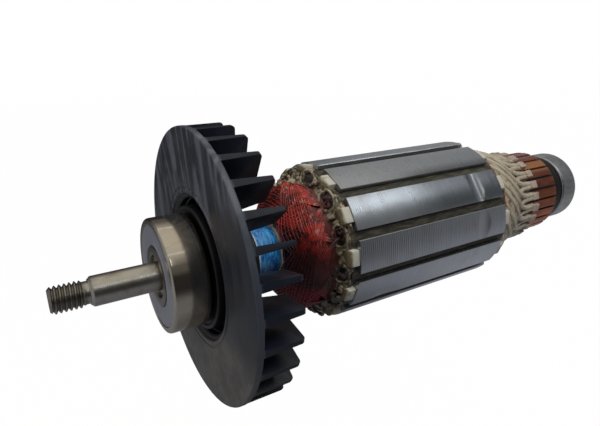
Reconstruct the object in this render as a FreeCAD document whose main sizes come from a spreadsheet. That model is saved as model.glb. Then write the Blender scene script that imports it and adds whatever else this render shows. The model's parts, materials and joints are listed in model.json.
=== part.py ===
import FreeCAD, Part
import math
import os
import Sketcher
from FreeCAD import Placement, Rotation, Vector

# Motor armature of a small commutator motor. Millimetres.
# The shaft axis is X: thread and fan towards -X, commutator towards +X, +Z up.
# The origin is the centre of the drive-end bearing.

SIZES = (
    # shaft
    ("thread_diameter", 4.9, "thread at the drive end, outside"),
    ("thread_length", 6.6, "thread with its run-out neck"),
    ("neck_diameter", 4.1, "run-out neck between thread and pinion seat"),
    ("neck_length", 0.8, "length of the run-out neck"),
    ("pinion_diameter", 5.5, "seat of the pinion"),
    ("pinion_length", 12.3, "from the neck to the bearing seat"),
    ("shaft_diameter", 8.0, "shaft from the drive bearing to the rear shoulder"),
    ("seat_inset", 0.6, "start of the bearing seat inside the drive bearing"),
    ("rear_diameter", 7.0, "seat of the rear bearing"),
    ("shaft_overhang", 0.5, "shaft end past the rear bearing"),
    ("shaft_chamfer", 0.4, "chamfers on the shaft"),
    # drive-end bearing
    ("drive_outside", 22.0, "drive bearing outside diameter"),
    ("drive_width", 7.0, "drive bearing width"),
    ("drive_pitch", 15.0, "drive bearing ball circle diameter"),
    ("drive_balls", 7, "balls in the drive bearing"),
    # rear bearing
    ("rear_outside", 19.0, "rear bearing outside diameter"),
    ("rear_width", 6.0, "rear bearing width"),
    ("rear_pitch", 13.0, "rear bearing ball circle diameter"),
    ("rear_balls", 6, "balls in the rear bearing"),
    # both bearings
    ("ball_diameter", 3.969, "balls of both bearings"),
    ("ball_play", 0.03, "radial play between a ball and its raceway"),
    ("pocket_play", 0.12, "play between a ball and its cage pocket"),
    ("cage_wall", 0.25, "cage ring behind the ball pockets"),
    ("cage_claw", 0.9, "cage past the ball centres on its open side"),
    ("cage_thickness", 0.9, "cage thickness across the shaft"),
    ("shoulder_height", 0.55, "raceway shoulder below the ball circle edge"),
    ("seal_width", 0.4, "seal thickness"),
    ("seal_step", 0.75, "depth of the seal seat in the outer ring"),
    ("seal_lip_gap", 0.08, "running gap between seal and inner ring"),
    ("seal_inset", 0.1, "seal face below the ring face"),
    ("ring_chamfer", 0.5, "chamfer on the ring corners"),
    # dust ring behind the drive bearing
    ("dust_diameter", 24.4, "dust ring outside diameter"),
    ("dust_thickness", 2.0, "dust ring thickness"),
    ("dust_boss_diameter", 10.6, "boss that meets the inner ring"),
    ("running_gap", 0.35, "gap between turning and standing pieces"),
    # fan
    ("fan_diameter", 54.4, "fan outside diameter"),
    ("fan_gap", 0.66, "gap between the drive bearing and the fan face"),
    ("disc_thickness", 1.2, "fan disc thickness at the rim"),
    ("blade_height", 7.6, "blades behind the disc"),
    ("blade_count", 30, "fan blades"),
    ("blade_root", 1.5, "blade thickness at the disc"),
    ("blade_tip", 0.8, "blade thickness at the tip"),
    ("blade_inner_root", 18.9, "inner radius of a blade at the disc"),
    ("blade_inner_tip", 20.8, "inner radius of a blade at its tip"),
    ("blade_corner", 1.2, "rounding of the blade's rear corner"),
    ("recess_mouth", 29.4, "recess in the fan face, diameter at the mouth"),
    ("recess_diameter", 27.2, "recess diameter below the mouth"),
    ("recess_taper", 1.0, "depth of the tapered mouth"),
    ("recess_depth", 4.4, "depth of the recess"),
    ("cup_wall", 1.5, "wall round and behind the recess"),
    ("hub_diameter", 14.0, "fan hub outside diameter"),
    ("hub_length", 10.7, "fan from its face to the end of its hub"),
    ("rim_chamfer", 0.35, "chamfer on the fan's front edge"),
    # shaft insulation
    ("tube_diameter", 9.8, "insulating tube outside diameter"),
    ("tape_thickness", 0.25, "blue tape wrapped on the tube"),
    ("tape_length", 6.2, "tape from the fan hub to the insulator neck"),
    # core
    ("core_diameter", 34.2, "laminated core outside diameter"),
    ("core_length", 42.6, "laminated core length"),
    ("slot_count", 12, "slots in the core"),
    ("slot_opening", 1.98, "width of a slot opening"),
    ("tooth_width", 3.3, "width of a tooth neck"),
    ("tooth_lip", 0.9, "thickness of a tooth's tip"),
    ("lip_slope", 0.8, "rise of the slot's shoulder under the tip"),
    ("slot_bottom", 17.6, "diameter at the slot bottoms"),
    # balancing cuts in three neighbouring teeth
    ("cut_place", 35.2, "middle of the deep cut from the core's front face"),
    ("cut_depth", 0.75, "depth of the deep cut"),
    ("cutter_radius", 3.0, "cutter of the deep cut"),
    ("band_place", 35.4, "middle of the shallow cut from the core's front face"),
    ("band_depth", 0.3, "depth of the shallow cut"),
    ("band_radius", 8.4, "cutter of the shallow cut"),
    ("edge_place", 8.7, "middle of the edge cut from the core's front face"),
    ("edge_depth", 0.2, "depth of the edge cut"),
    ("edge_radius", 45.0, "cutter of the edge cut"),
    # end insulators
    ("finger_length", 2.5, "insulator finger along the shaft"),
    ("finger_reach", 0.3, "finger end below the core surface"),
    ("neck_wall", 0.8, "wall of the insulator neck"),
    ("rear_neck_length", 11.0, "neck of the rear insulator"),
    # slots
    ("liner_thickness", 0.25, "slot liner paper"),
    ("liner_overhang", 2.9, "liner past the core face"),
    ("coil_gap", 0.05, "clearance round a coil side in its liner"),
    ("wedge_play", 0.1, "play of a wedge under the tooth tips"),
    ("wedge_overhang", 1.2, "wedge past the core face"),
    # windings
    ("winding_lead", 0.85, "winding nose in front of the insulator neck"),
    ("front_winding_length", 8.4, "front end winding along the shaft"),
    ("front_winding_diameter", 28.6, "front end winding outside diameter"),
    ("front_winding_nose", 15.0, "diameter of the front end winding's nose"),
    ("front_winding_setback", 0.9, "nose in front of the winding's bore"),
    ("front_winding_shoulder", 6.9, "from the nose to the full diameter"),
    ("front_winding_bend", 3.7, "from the nose to the bend in its slope"),
    ("front_winding_middle", 26.0, "diameter at the bend in its slope"),
    ("rear_winding_length", 8.5, "rear end winding along the shaft"),
    ("rear_winding_diameter", 28.4, "rear end winding outside diameter"),
    ("rear_winding_end", 25.0, "rear end winding diameter at the leads"),
    ("lead_zone_length", 7.0, "leads between winding and commutator"),
    ("rear_winding_shoulder", 3.6, "full diameter behind the liners"),
    ("rear_winding_bend", 6.4, "from the core side to the bend in its slope"),
    ("rear_winding_middle", 27.2, "diameter at the bend in its slope"),
    ("winding_play", 0.05, "play of the windings on the insulator necks"),
    ("lead_diameter", 1.0, "lead from the winding to a hook, with its cover, across its corners"),
    ("lead_spread", 1.0, "a lead beside the middle of its bar, at the winding"),
    ("lead_play", 0.02, "half the gap between the two leads at a hook"),
    ("lead_end", 23.4, "diameter over the leads at the commutator"),
    ("lead_bed", 21.4, "cone under the leads, diameter at the winding"),
    ("lead_bed_end", 20.2, "cone under the leads, diameter at the commutator"),
    # commutator
    ("commutator_diameter", 22.0, "commutator bars outside diameter"),
    ("commutator_core", 15.6, "moulding diameter under the bars"),
    ("bar_length", 10.8, "commutator bar length"),
    ("bar_count", 24, "commutator bars"),
    ("bar_gap", 0.55, "gap between two bars"),
    ("undercut", 0.6, "depth of the gap above the moulding"),
    ("hook_width", 1.6, "hook width"),
    ("hook_thickness", 0.5, "hook strip thickness"),
    ("hook_length", 2.3, "hook along the shaft"),
    ("hook_rise", 1.0, "hook above the bar"),
    ("front_flange", 1.4, "moulding in front of the bars"),
    ("rear_flange", 1.8, "moulding behind the bars"),
    ("front_flange_diameter", 19.4, "moulding diameter in front of the bars"),
    ("rear_flange_diameter", 19.2, "moulding diameter behind the bars"),
    # ring between commutator and rear bearing
    ("rear_ring_diameter", 18.4, "rear ring outside diameter"),
    ("rear_ring_length", 3.35, "rear ring along the shaft"),
    ("rear_boss_diameter", 9.4, "boss that meets the rear inner ring"),
    # turns about the shaft from +Y towards +Z
    ("slot_phase", 8.3, "turn of the core, degrees"),
    ("bar_phase", 7.7, "turn of the commutator, degrees"),
    ("blade_phase", 3.4, "turn of the fan, degrees"),
)


class Size:
    """A length: the sheet expression that it comes from and the number that it gives now."""

    def __init__(self, text, number):
        self.text, self.number = text, number

    def _join(self, sign, other, number, swap=False):
        other_text = other.text if isinstance(other, Size) else repr(other)
        pair = (other_text, self.text) if swap else (self.text, other_text)
        return Size("(%s %s %s)" % (pair[0], sign, pair[1]), number)

    def __add__(self, other):
        return self._join("+", other, self.number + plain(other))

    def __sub__(self, other):
        return self._join("-", other, self.number - plain(other))

    def __rsub__(self, other):
        return self._join("-", other, plain(other) - self.number, swap=True)

    def __mul__(self, other):
        return self._join("*", other, self.number * plain(other))

    def __truediv__(self, other):
        return self._join("/", other, self.number / plain(other))

    def __neg__(self):
        return Size("(0 - %s)" % self.text, -self.number)


def plain(size):
    return size.number if isinstance(size, Size) else size


class Dimensions:
    """The named sizes, each also a cell of the sheet."""

    def __init__(self, doc):
        sheet = doc.addObject("Spreadsheet::Sheet", "dims")
        for row, (name, number, note) in enumerate(SIZES, 1):
            sheet.set("A%d" % row, name)
            sheet.set("B%d" % row, str(number))
            sheet.set("C%d" % row, note)
            sheet.setAlias("B%d" % row, name)
            setattr(self, name, Size("dims." + name, number))


doc = FreeCAD.newDocument("armature")
d = Dimensions(doc)
doc.recompute()

NODES = []


def bind(thing, path, size):
    thing.setExpression(path, size.text)


def new_body(label, station, phase=None):
    """A body whose own origin lies on the shaft axis at the given station."""
    body = doc.addObject("PartDesign::Body", label)
    body.Label = label
    if phase is not None:
        body.Placement = Placement(Vector(), Rotation(Vector(1, 0, 0), phase.number))
        bind(body, "Placement.Rotation.Angle", phase)
    bind(body, "Placement.Base.x", station)
    NODES.append(body)
    return body


def origin_feature(body, role):
    return [part for part in body.Origin.OriginFeatures if part.Role == role][0]


def new_sketch(body, name, plane, offset=None):
    sketch = body.newObject("Sketcher::SketchObject", name)
    sketch.AttachmentSupport = [(origin_feature(body, plane), "")]
    sketch.MapMode = "FlatFace"
    if offset is not None:
        bind(sketch, "AttachmentOffset.Base.z", offset)
    return sketch


def add_side(sketch, start, end, radius):
    """One side of an outline; gives its index and which of its ends is start and which is end."""
    if radius is None:
        return sketch.addGeometry(Part.LineSegment(start, end)), 1, 2
    turn = 1 if plain(radius) > 0 else -1
    size = abs(plain(radius))
    chord = end - start
    rise = math.sqrt(max(size ** 2 - chord.Length ** 2 / 4, 0))
    across = Vector(-chord.y, chord.x, 0).normalize()
    centre = (start + end) * 0.5 + across * rise * turn
    first, last = (start, end) if turn > 0 else (end, start)
    angles = [math.atan2(p.y - centre.y, p.x - centre.x) for p in (first, last)]
    circle = Part.Circle(centre, Vector(0, 0, 1), size)
    index = sketch.addGeometry(Part.ArcOfCircle(circle, angles[0], angles[1]))
    return (index, 1, 2) if turn > 0 else (index, 2, 1)


def outline(sketch, corners):
    """A closed outline. A corner is (along, out); a third value is the radius of the arc that
    leaves it, positive where the arc turns left and negative where it turns right."""
    points = [Vector(plain(c[0]), plain(c[1]), 0) for c in corners]
    sides = []
    for i, corner in enumerate(corners):
        radius = corner[2] if len(corner) > 2 else None
        sides.append(add_side(sketch, points[i], points[(i + 1) % len(points)], radius))
    for i, (side, _, end) in enumerate(sides):
        after, start, _ = sides[(i + 1) % len(sides)]
        sketch.addConstraint(Sketcher.Constraint("Coincident", side, end, after, start))
    for corner, (side, start, _) in zip(corners, sides):
        for kind, size, line in (("DistanceX", corner[0], -2), ("DistanceY", corner[1], -1)):
            if not isinstance(size, Size):
                sketch.addConstraint(Sketcher.Constraint("PointOnObject", side, start, line))
                continue
            rule = Sketcher.Constraint(kind, -1, 1, side, start, size.number)
            bind(sketch, "Constraints[%d]" % sketch.addConstraint(rule), size)
        if len(corner) > 2:
            radius = corner[2] if plain(corner[2]) > 0 else -corner[2]
            rule = Sketcher.Constraint("Radius", side, radius.number)
            bind(sketch, "Constraints[%d]" % sketch.addConstraint(rule), radius)


def add_circle(sketch, across, along, radius):
    """Circle placed and sized from the sheet."""
    centre = Vector(across.number, along.number, 0)
    side = sketch.addGeometry(Part.Circle(centre, Vector(0, 0, 1), radius.number))
    for kind, size in (("DistanceX", across), ("DistanceY", along)):
        rule = Sketcher.Constraint(kind, -1, 1, side, 3, size.number)
        bind(sketch, "Constraints[%d]" % sketch.addConstraint(rule), size)
    rule = Sketcher.Constraint("Radius", side, radius.number)
    bind(sketch, "Constraints[%d]" % sketch.addConstraint(rule), radius)


def ring_sketch(body, name, diameters, offset=None):
    """Circles round the body's own axis."""
    sketch = new_sketch(body, name, "YZ_Plane", offset)
    for diameter in diameters:
        radius = diameter / 2
        side = sketch.addGeometry(Part.Circle(Vector(), Vector(0, 0, 1), radius.number))
        sketch.addConstraint(Sketcher.Constraint("Coincident", side, 3, -1, 1))
        rule = Sketcher.Constraint("Radius", side, radius.number)
        bind(sketch, "Constraints[%d]" % sketch.addConstraint(rule), radius)
    return sketch


def feature(body, kind, name, sketch, **sizes):
    """A sketch-based feature with its sizes bound to the sheet."""
    made = body.newObject("PartDesign::" + kind, name)
    made.Profile = sketch
    for key, size in sizes.items():
        if isinstance(size, Size):
            bind(made, key, size)
        else:
            setattr(made, key, size)
    sketch.Visibility = False
    return made


def turn(body, name, corners, kind="Revolution"):
    """Turns an outline, given as (along the shaft, from the axis), about the shaft axis."""
    sketch = new_sketch(body, name + "Profile", "XZ_Plane")
    outline(sketch, corners)
    made = feature(body, kind, name, sketch, Angle=360.0)
    made.ReferenceAxis = (sketch, ["H_Axis"])
    return made


def round_pattern(body, name, originals, count):
    pattern = body.newObject("PartDesign::PolarPattern", name)
    pattern.Originals = originals
    pattern.Axis = (origin_feature(body, "X_Axis"), [""])
    pattern.Angle = 360.0
    bind(pattern, "Occurrences", count)
    body.Tip = pattern
    return pattern


def tube(label, station, length, outside, bore):
    """A plain ring or tube."""
    body = new_body(label, station)
    turn(body, "Tube", [(0, bore / 2), (length, bore / 2), (length, outside / 2), (0, outside / 2)])
    return body


# Stations along the shaft, from the centre of the drive bearing.
drive_front = -(d.drive_width / 2)
drive_back = d.drive_width / 2
seat_start = drive_front + d.seat_inset
shaft_tip = seat_start - d.pinion_length - d.thread_length
fan_front = drive_back + d.fan_gap
hub_end = fan_front + d.hub_length
tape_end = hub_end + d.tape_length
winding_front = tape_end - d.winding_lead
core_front = winding_front + d.front_winding_length + d.liner_overhang
core_back = core_front + d.core_length
winding_back = core_back + d.liner_overhang + d.rear_winding_length
bars_front = winding_back + d.lead_zone_length
bars_back = bars_front + d.bar_length
rear_ring_front = bars_back + d.rear_flange
rear_front = rear_ring_front + d.rear_ring_length + d.running_gap
rear_back = rear_front + d.rear_width
shaft_end = rear_back + d.shaft_overhang


def make_shaft():
    """One turned piece: thread, neck, pinion seat, long seat and rear seat."""
    body = new_body("shaft", shaft_tip)
    thread, neck = d.thread_diameter / 2, d.neck_diameter / 2
    pinion, seat, rear = d.pinion_diameter / 2, d.shaft_diameter / 2, d.rear_diameter / 2
    chamfer = d.shaft_chamfer
    neck_start = d.thread_length - d.neck_length
    seat_at = d.thread_length + d.pinion_length
    shoulder = rear_front - shaft_tip
    end = shaft_end - shaft_tip
    turn(body, "Turned", [
        (0, 0), (end, 0), (end, rear - chamfer), (end - chamfer, rear), (shoulder, rear),
        (shoulder, seat), (seat_at, seat), (seat_at, pinion),
        (d.thread_length + chamfer, pinion), (d.thread_length, pinion - chamfer),
        (d.thread_length, neck), (neck_start, neck), (neck_start - chamfer, thread),
        (chamfer, thread), (0, thread - chamfer)])


def make_outer_ring(name, station, width, outside, pitch):
    """Outer ring with its raceway and a seat for a seal on each side."""
    body = new_body(name, station)
    ball = d.ball_diameter / 2
    shoulder = pitch / 2 + ball - d.shoulder_height
    seat = outside / 2 - d.ring_chamfer - d.seal_step + d.seal_lip_gap
    outer, chamfer, step = outside / 2, d.ring_chamfer, d.seal_inset + d.seal_width
    turn(body, "Ring", [
        (0, seat), (step, seat), (step, shoulder), (width - step, shoulder), (width - step, seat),
        (width, seat), (width, outer - chamfer), (width - chamfer, outer), (chamfer, outer),
        (0, outer - chamfer)])
    cut_raceway(body, width, pitch)


def make_inner_ring(name, station, width, bore, pitch):
    """Inner ring with its raceway and the lands on which the seals run."""
    body = new_body(name, station)
    ball = d.ball_diameter / 2
    shoulder = pitch / 2 - ball + d.shoulder_height
    land, step = shoulder - d.seal_lip_gap * 4, d.seal_inset + d.seal_width + d.seal_lip_gap
    inner, chamfer = bore / 2, d.ring_chamfer
    turn(body, "Ring", [
        (0, inner + chamfer), (chamfer, inner), (width - chamfer, inner), (width, inner + chamfer),
        (width, land), (width - step, land), (width - step, shoulder), (step, shoulder),
        (step, land), (0, land)])
    cut_raceway(body, width, pitch)


def cut_raceway(body, width, pitch):
    """Groove in which the balls run, a little larger than the balls."""
    sketch = new_sketch(body, "RacewayProfile", "XZ_Plane")
    add_circle(sketch, width / 2, pitch / 2, d.ball_diameter / 2 + d.ball_play)
    groove = feature(body, "Groove", "Raceway", sketch, Angle=360.0)
    groove.ReferenceAxis = (sketch, ["H_Axis"])


def make_balls(name, station, width, pitch, count):
    """The balls, separate solids on the ball circle."""
    body = new_body(name, station)
    ball = body.newObject("PartDesign::AdditiveSphere", "Ball")
    bind(ball, "Radius", d.ball_diameter / 2)
    bind(ball, "Placement.Base.x", width / 2)
    bind(ball, "Placement.Base.z", pitch / 2)
    round_pattern(body, "BallCircle", [ball], count)


def make_cage(name, station, width, pitch, count):
    """Crown cage: a ring with a round pocket for each ball, open on one side."""
    body = new_body(name, station)
    reach = d.ball_diameter / 2 + d.pocket_play
    front, back = width / 2 - reach - d.cage_wall, width / 2 + d.cage_claw
    inner, outer = (pitch - d.cage_thickness) / 2, (pitch + d.cage_thickness) / 2
    turn(body, "Ring", [(front, inner), (back, inner), (back, outer), (front, outer)])
    pocket = body.newObject("PartDesign::SubtractiveSphere", "Pocket")
    bind(pocket, "Radius", reach)
    bind(pocket, "Placement.Base.x", width / 2)
    bind(pocket, "Placement.Base.z", pitch / 2)
    round_pattern(body, "Pockets", [pocket], count)


def make_seal(name, station, outside, pitch):
    """Flat sealing washer held in the outer ring."""
    shoulder = pitch / 2 - d.ball_diameter / 2 + d.shoulder_height
    inside = shoulder - d.seal_lip_gap * 3
    seat = outside / 2 - d.ring_chamfer - d.seal_step + d.seal_lip_gap
    tube(name, station, d.seal_width, seat * 2, inside * 2)


def make_bearing(side, station, bore, outside, width, pitch, count):
    """Deep-groove ball bearing with a seal on each side."""
    make_outer_ring(side + "_outer_ring", station, width, outside, pitch)
    make_inner_ring(side + "_inner_ring", station, width, bore, pitch)
    make_balls(side + "_balls", station, width, pitch, count)
    make_cage(side + "_cage", station, width, pitch, count)
    make_seal(side + "_front_seal", station + d.seal_inset, outside, pitch)
    make_seal(side + "_rear_seal", station + width - d.seal_inset - d.seal_width, outside, pitch)


def make_dust_ring():
    """Ring that turns with the shaft just behind the drive bearing."""
    body = new_body("dust_ring", drive_back)
    bore, boss, outer = d.shaft_diameter / 2, d.dust_boss_diameter / 2, d.dust_diameter / 2
    gap = d.running_gap
    back = gap + d.dust_thickness
    turn(body, "Ring", [(0, bore), (back, bore), (back, outer), (gap, outer), (gap, boss),
                        (0, boss)])


def make_fan():
    """Disc with a recess for the bearing, a hub, and radial blades that thin towards their tips."""
    body = new_body("fan", fan_front, d.blade_phase)
    bore, rim, hub = d.shaft_diameter / 2, d.fan_diameter / 2, d.hub_diameter / 2
    mouth, recess = d.recess_mouth / 2, d.recess_diameter / 2
    cup = recess + d.cup_wall
    floor = d.recess_depth + d.cup_wall
    turn(body, "DiscAndHub", [
        (d.recess_depth, bore), (d.hub_length, bore), (d.hub_length, hub), (floor, hub),
        (floor, cup), (d.disc_thickness, cup), (d.disc_thickness, rim), (d.rim_chamfer, rim),
        (0, rim - d.rim_chamfer), (0, mouth), (d.recess_taper, recess), (d.recess_depth, recess)])
    root = new_sketch(body, "BladeRoot", "YZ_Plane", d.disc_thickness)
    outline(root, blade_section(d.blade_root, d.blade_inner_root, rim))
    tip = new_sketch(body, "BladeTip", "YZ_Plane", d.disc_thickness + d.blade_height)
    outline(tip, blade_section(d.blade_tip, d.blade_inner_tip, rim))
    blade = feature(body, "AdditiveLoft", "Blade", root, Ruled=True)
    blade.Sections = [(tip, [""])]
    tip.Visibility = False
    round_pattern(body, "Blades", [blade], d.blade_count)
    round_blade_corners(body, rim)


def blade_section(thickness, inner, rim):
    """Section of a blade across the shaft, a little inside the rim so that it stays on it."""
    outer = rim - d.rim_chamfer / 4
    return [(-(thickness / 2), inner), (thickness / 2, inner), (thickness / 2, outer),
            (-(thickness / 2), outer)]


def round_blade_corners(body, rim):
    """Turned cut that rounds the outer rear corner of every blade."""
    radius, margin = d.blade_corner, d.rim_chamfer / 4
    back, outer = d.disc_thickness + d.blade_height, rim
    turn(body, "BladeCorners", [
        (back + margin, outer - radius, radius + margin), (back - radius, outer + margin),
        (back - radius, outer + radius), (back + radius, outer + radius),
        (back + radius, outer - radius)], kind="Groove")


def half_turn(count):
    """Half the angle between neighbours of a pattern, in degrees."""
    return Size("(180 / %s)" % count.text, 180 / count.number)


def slot_side(radius, inset=0.0):
    """Half width of the slot at a distance from the axis: the teeth have parallel sides."""
    slope = Size("tan(180 deg / dims.slot_count)", math.tan(math.pi / d.slot_count.number))
    level = Size("cos(180 deg / dims.slot_count)", math.cos(math.pi / d.slot_count.number))
    return slope * radius - (d.tooth_width / 2 + inset) / level


def slot_outline(inset=0.0):
    """Closed outline of the slot's room under the tooth tips, drawn as (across, from the axis)."""
    floor = d.slot_bottom / 2 + inset
    roof = d.core_diameter / 2 - d.tooth_lip - d.lip_slope - inset
    foot, head = slot_side(floor, inset), slot_side(roof, inset)
    return [(-foot, floor), (foot, floor), (head, roof), (-head, roof)]


def pad_slots(label, station, length, corners):
    """A straight solid in every slot."""
    body = new_body(label, station, d.slot_phase)
    sketch = new_sketch(body, "Section", "YZ_Plane")
    outline(sketch, corners)
    pad = feature(body, "Pad", "Strip", sketch, Length=length)
    round_pattern(body, "Slots", [pad], d.slot_count)


def make_core():
    """Stack of slotted laminations with the balancing cuts milled in its teeth."""
    body = new_body("lamination_core", core_front, d.slot_phase)
    sheet = ring_sketch(body, "Lamination", [d.core_diameter, d.tube_diameter])
    feature(body, "Pad", "Stack", sheet, Length=d.core_length)
    slot = new_sketch(body, "SlotSection", "YZ_Plane")
    floor, roof = d.slot_bottom / 2, d.core_diameter / 2 - d.tooth_lip - d.lip_slope
    half, lip = d.slot_opening / 2, d.core_diameter / 2 - d.tooth_lip
    beyond = d.core_diameter / 2 + 1.0
    outline(slot, [(-slot_side(floor), floor), (slot_side(floor), floor), (slot_side(roof), roof),
                   (half, lip), (half, beyond), (-half, beyond), (-half, lip),
                   (-slot_side(roof), roof)])
    cut = feature(body, "Pocket", "Slot", slot, Length=d.core_length, Reversed=True)
    round_pattern(body, "Slots", [cut], d.slot_count)
    mill_tooth(body, "DeepCut", 1.5, d.cut_place, d.cutter_radius, d.cut_depth)
    mill_tooth(body, "ShallowCut", 2.5, d.band_place, d.band_radius, d.band_depth)
    mill_tooth(body, "EdgeCut", 3.9, d.edge_place, d.edge_radius, d.edge_depth)


def mill_tooth(body, name, steps, place, radius, depth):
    """Round-bottomed cut across the core's surface, given in slot pitches from the first slot."""
    angle = Size("(%s * 360 / dims.slot_count)" % steps, steps * 360 / d.slot_count.number)
    sketch = new_sketch(body, name + "Section", "XZ_Plane")
    sketch.AttachmentOffset = Placement(Vector(), Rotation(Vector(1, 0, 0), angle.number))
    bind(sketch, "AttachmentOffset.Rotation.Angle", angle)
    add_circle(sketch, place, d.core_diameter / 2 + radius - depth, radius)
    feature(body, "Pocket", name, sketch, SideType="Symmetric", Length=d.core_diameter / 4)


def make_end_insulator(label, station, neck_first, neck_length):
    """Spider with a finger on each tooth, and a neck round the shaft tube."""
    body = new_body(label, station, d.slot_phase + half_turn(d.slot_count))
    bore, neck, ring = d.tube_diameter, d.tube_diameter + d.neck_wall * 2, d.slot_bottom
    spider_at = neck_length if neck_first else Size("0.0", 0.0)
    plate = ring_sketch(body, "Plate", [ring, bore], offset=spider_at)
    feature(body, "Pad", "Hub", plate, Length=d.finger_length)
    collar = ring_sketch(body, "Collar", [neck, bore])
    feature(body, "Pad", "Neck", collar, Length=neck_length + d.finger_length)
    section = new_sketch(body, "FingerSection", "YZ_Plane", spider_at)
    half, tip = d.tooth_width / 2, d.core_diameter / 2 - d.finger_reach
    foot = d.slot_bottom / 2 - d.neck_wall
    outline(section, [(-half, foot), (half, foot), (half, tip), (-half, tip)])
    finger = feature(body, "Pad", "Finger", section, Length=d.finger_length)
    round_pattern(body, "Fingers", [finger], d.slot_count)


def make_liners():
    """Folded paper in every slot, open towards the slot opening."""
    body = new_body("slot_liners", core_front - d.liner_overhang, d.slot_phase)
    outer, inner = slot_outline(d.coil_gap), slot_outline(d.coil_gap + d.liner_thickness)
    roof = outer[2][1]
    edge = slot_side(roof, d.coil_gap + d.liner_thickness)
    sketch = new_sketch(body, "Section", "YZ_Plane")
    outline(sketch, [outer[3], outer[0], outer[1], outer[2], (edge, roof), inner[1], inner[0],
                     (-edge, roof)])
    pad = feature(body, "Pad", "Paper", sketch, Length=d.core_length + d.liner_overhang * 2)
    round_pattern(body, "Slots", [pad], d.slot_count)


def make_coil_sides():
    """The straight sides of the coils, one solid of wire in each slot."""
    corners = slot_outline(d.coil_gap * 2 + d.liner_thickness)
    length = d.core_length + d.liner_overhang * 2
    pad_slots("coil_sides", core_front - d.liner_overhang, length, corners)


def make_wedges():
    """Strips that close the slots under the tooth tips."""
    roof = d.core_diameter / 2 - d.tooth_lip - d.lip_slope
    lip = d.core_diameter / 2 - d.tooth_lip - d.wedge_play
    foot, head = slot_side(roof) - d.wedge_play * 2, d.slot_opening / 2
    corners = [(-foot, roof), (foot, roof), (head, lip), (-head, lip)]
    length = d.core_length + d.wedge_overhang * 2
    pad_slots("slot_wedges", core_front - d.wedge_overhang, length, corners)


def make_front_winding():
    """Domed bundle of turns between the liners and the fan."""
    body = new_body("front_end_winding", winding_front)
    bore = d.tube_diameter / 2 + d.neck_wall + d.winding_play
    outer, back = d.front_winding_diameter / 2, d.front_winding_length
    turn(body, "Turns", [
        (d.front_winding_setback, bore), (back, bore), (back, outer),
        (d.front_winding_shoulder, outer), (d.front_winding_bend, d.front_winding_middle / 2),
        (0, d.front_winding_nose / 2)])


def make_rear_winding():
    """Covered bundle of turns behind the core, with a cone under the leads."""
    body = new_body("rear_end_winding", core_back + d.liner_overhang)
    bore = d.tube_diameter / 2 + d.neck_wall + d.winding_play
    outer, end, back = d.rear_winding_diameter / 2, d.rear_winding_end / 2, d.rear_winding_length
    bed, bed_end = d.lead_bed / 2, d.lead_bed_end / 2
    cone_end = back + d.lead_zone_length - d.front_flange
    turn(body, "Turns", [
        (0, bore), (cone_end, bore), (cone_end, bed_end), (back, bed), (back, end),
        (d.rear_winding_bend, d.rear_winding_middle / 2), (d.rear_winding_shoulder, outer),
        (0, outer)])


def make_leads():
    """Two leads to every commutator bar: they meet at its hook and spread towards the winding."""
    body = new_body("commutator_leads", winding_back, d.bar_phase + half_turn(d.bar_count))
    start, end = (d.rear_winding_end - d.lead_diameter) / 2, (d.lead_end - d.lead_diameter) / 2
    leads = []
    for side, name in ((1, "LeftLead"), (-1, "RightLead")):
        root = new_sketch(body, name + "Root", "YZ_Plane")
        outline(root, lead_section(d.lead_spread * side, start))
        tip = new_sketch(body, name + "Tip", "YZ_Plane", d.lead_zone_length)
        beside = d.lead_diameter / 2 + d.lead_play
        outline(tip, lead_section(beside * side, end))
        lead = feature(body, "AdditiveLoft", name, root, Ruled=True)
        lead.Sections = [(tip, [""])]
        leads.append(lead)
    round_pattern(body, "Bars", leads, d.bar_count)


def lead_section(across, out):
    """Six-sided section of a lead about its middle."""
    half = d.lead_diameter / 2
    slopes = [math.radians(60 * corner) for corner in range(6)]
    return [(across + half * round(math.cos(slope), 6), out + half * round(math.sin(slope), 6))
            for slope in slopes]


def bar_side(radius):
    """Half width of a bar at a distance from the axis: the gaps have parallel sides."""
    slope = Size("tan(180 deg / dims.bar_count)", math.tan(math.pi / d.bar_count.number))
    level = Size("cos(180 deg / dims.bar_count)", math.cos(math.pi / d.bar_count.number))
    return slope * radius - (d.bar_gap / 2) / level


def make_bars():
    """Copper bars, separate solids, each with a hook bent back over its front end."""
    body = new_body("commutator_bars", bars_front, d.bar_phase + half_turn(d.bar_count))
    outer, inner = d.commutator_diameter / 2, d.commutator_core / 2
    edge = outer - bar_side(outer) * bar_side(outer) / (outer * 2)
    half = bar_side(edge)
    section = new_sketch(body, "BarSection", "YZ_Plane")
    outline(section, [(-bar_side(inner), inner), (bar_side(inner), inner), (half, edge, outer),
                      (-half, edge)])
    bar = feature(body, "Pad", "Bar", section, Length=d.bar_length)
    profile = new_sketch(body, "HookProfile", "XZ_Plane")
    strip, top, foot = d.hook_thickness, outer + d.hook_rise, outer - d.hook_thickness
    outline(profile, [(0, foot), (strip, foot), (strip, top - strip), (d.hook_length, top - strip),
                      (d.hook_length, top), (0, top)])
    hook = feature(body, "Pad", "Hook", profile, SideType="Symmetric", Length=d.hook_width)
    round_pattern(body, "Bars", [bar, hook], d.bar_count)


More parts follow.
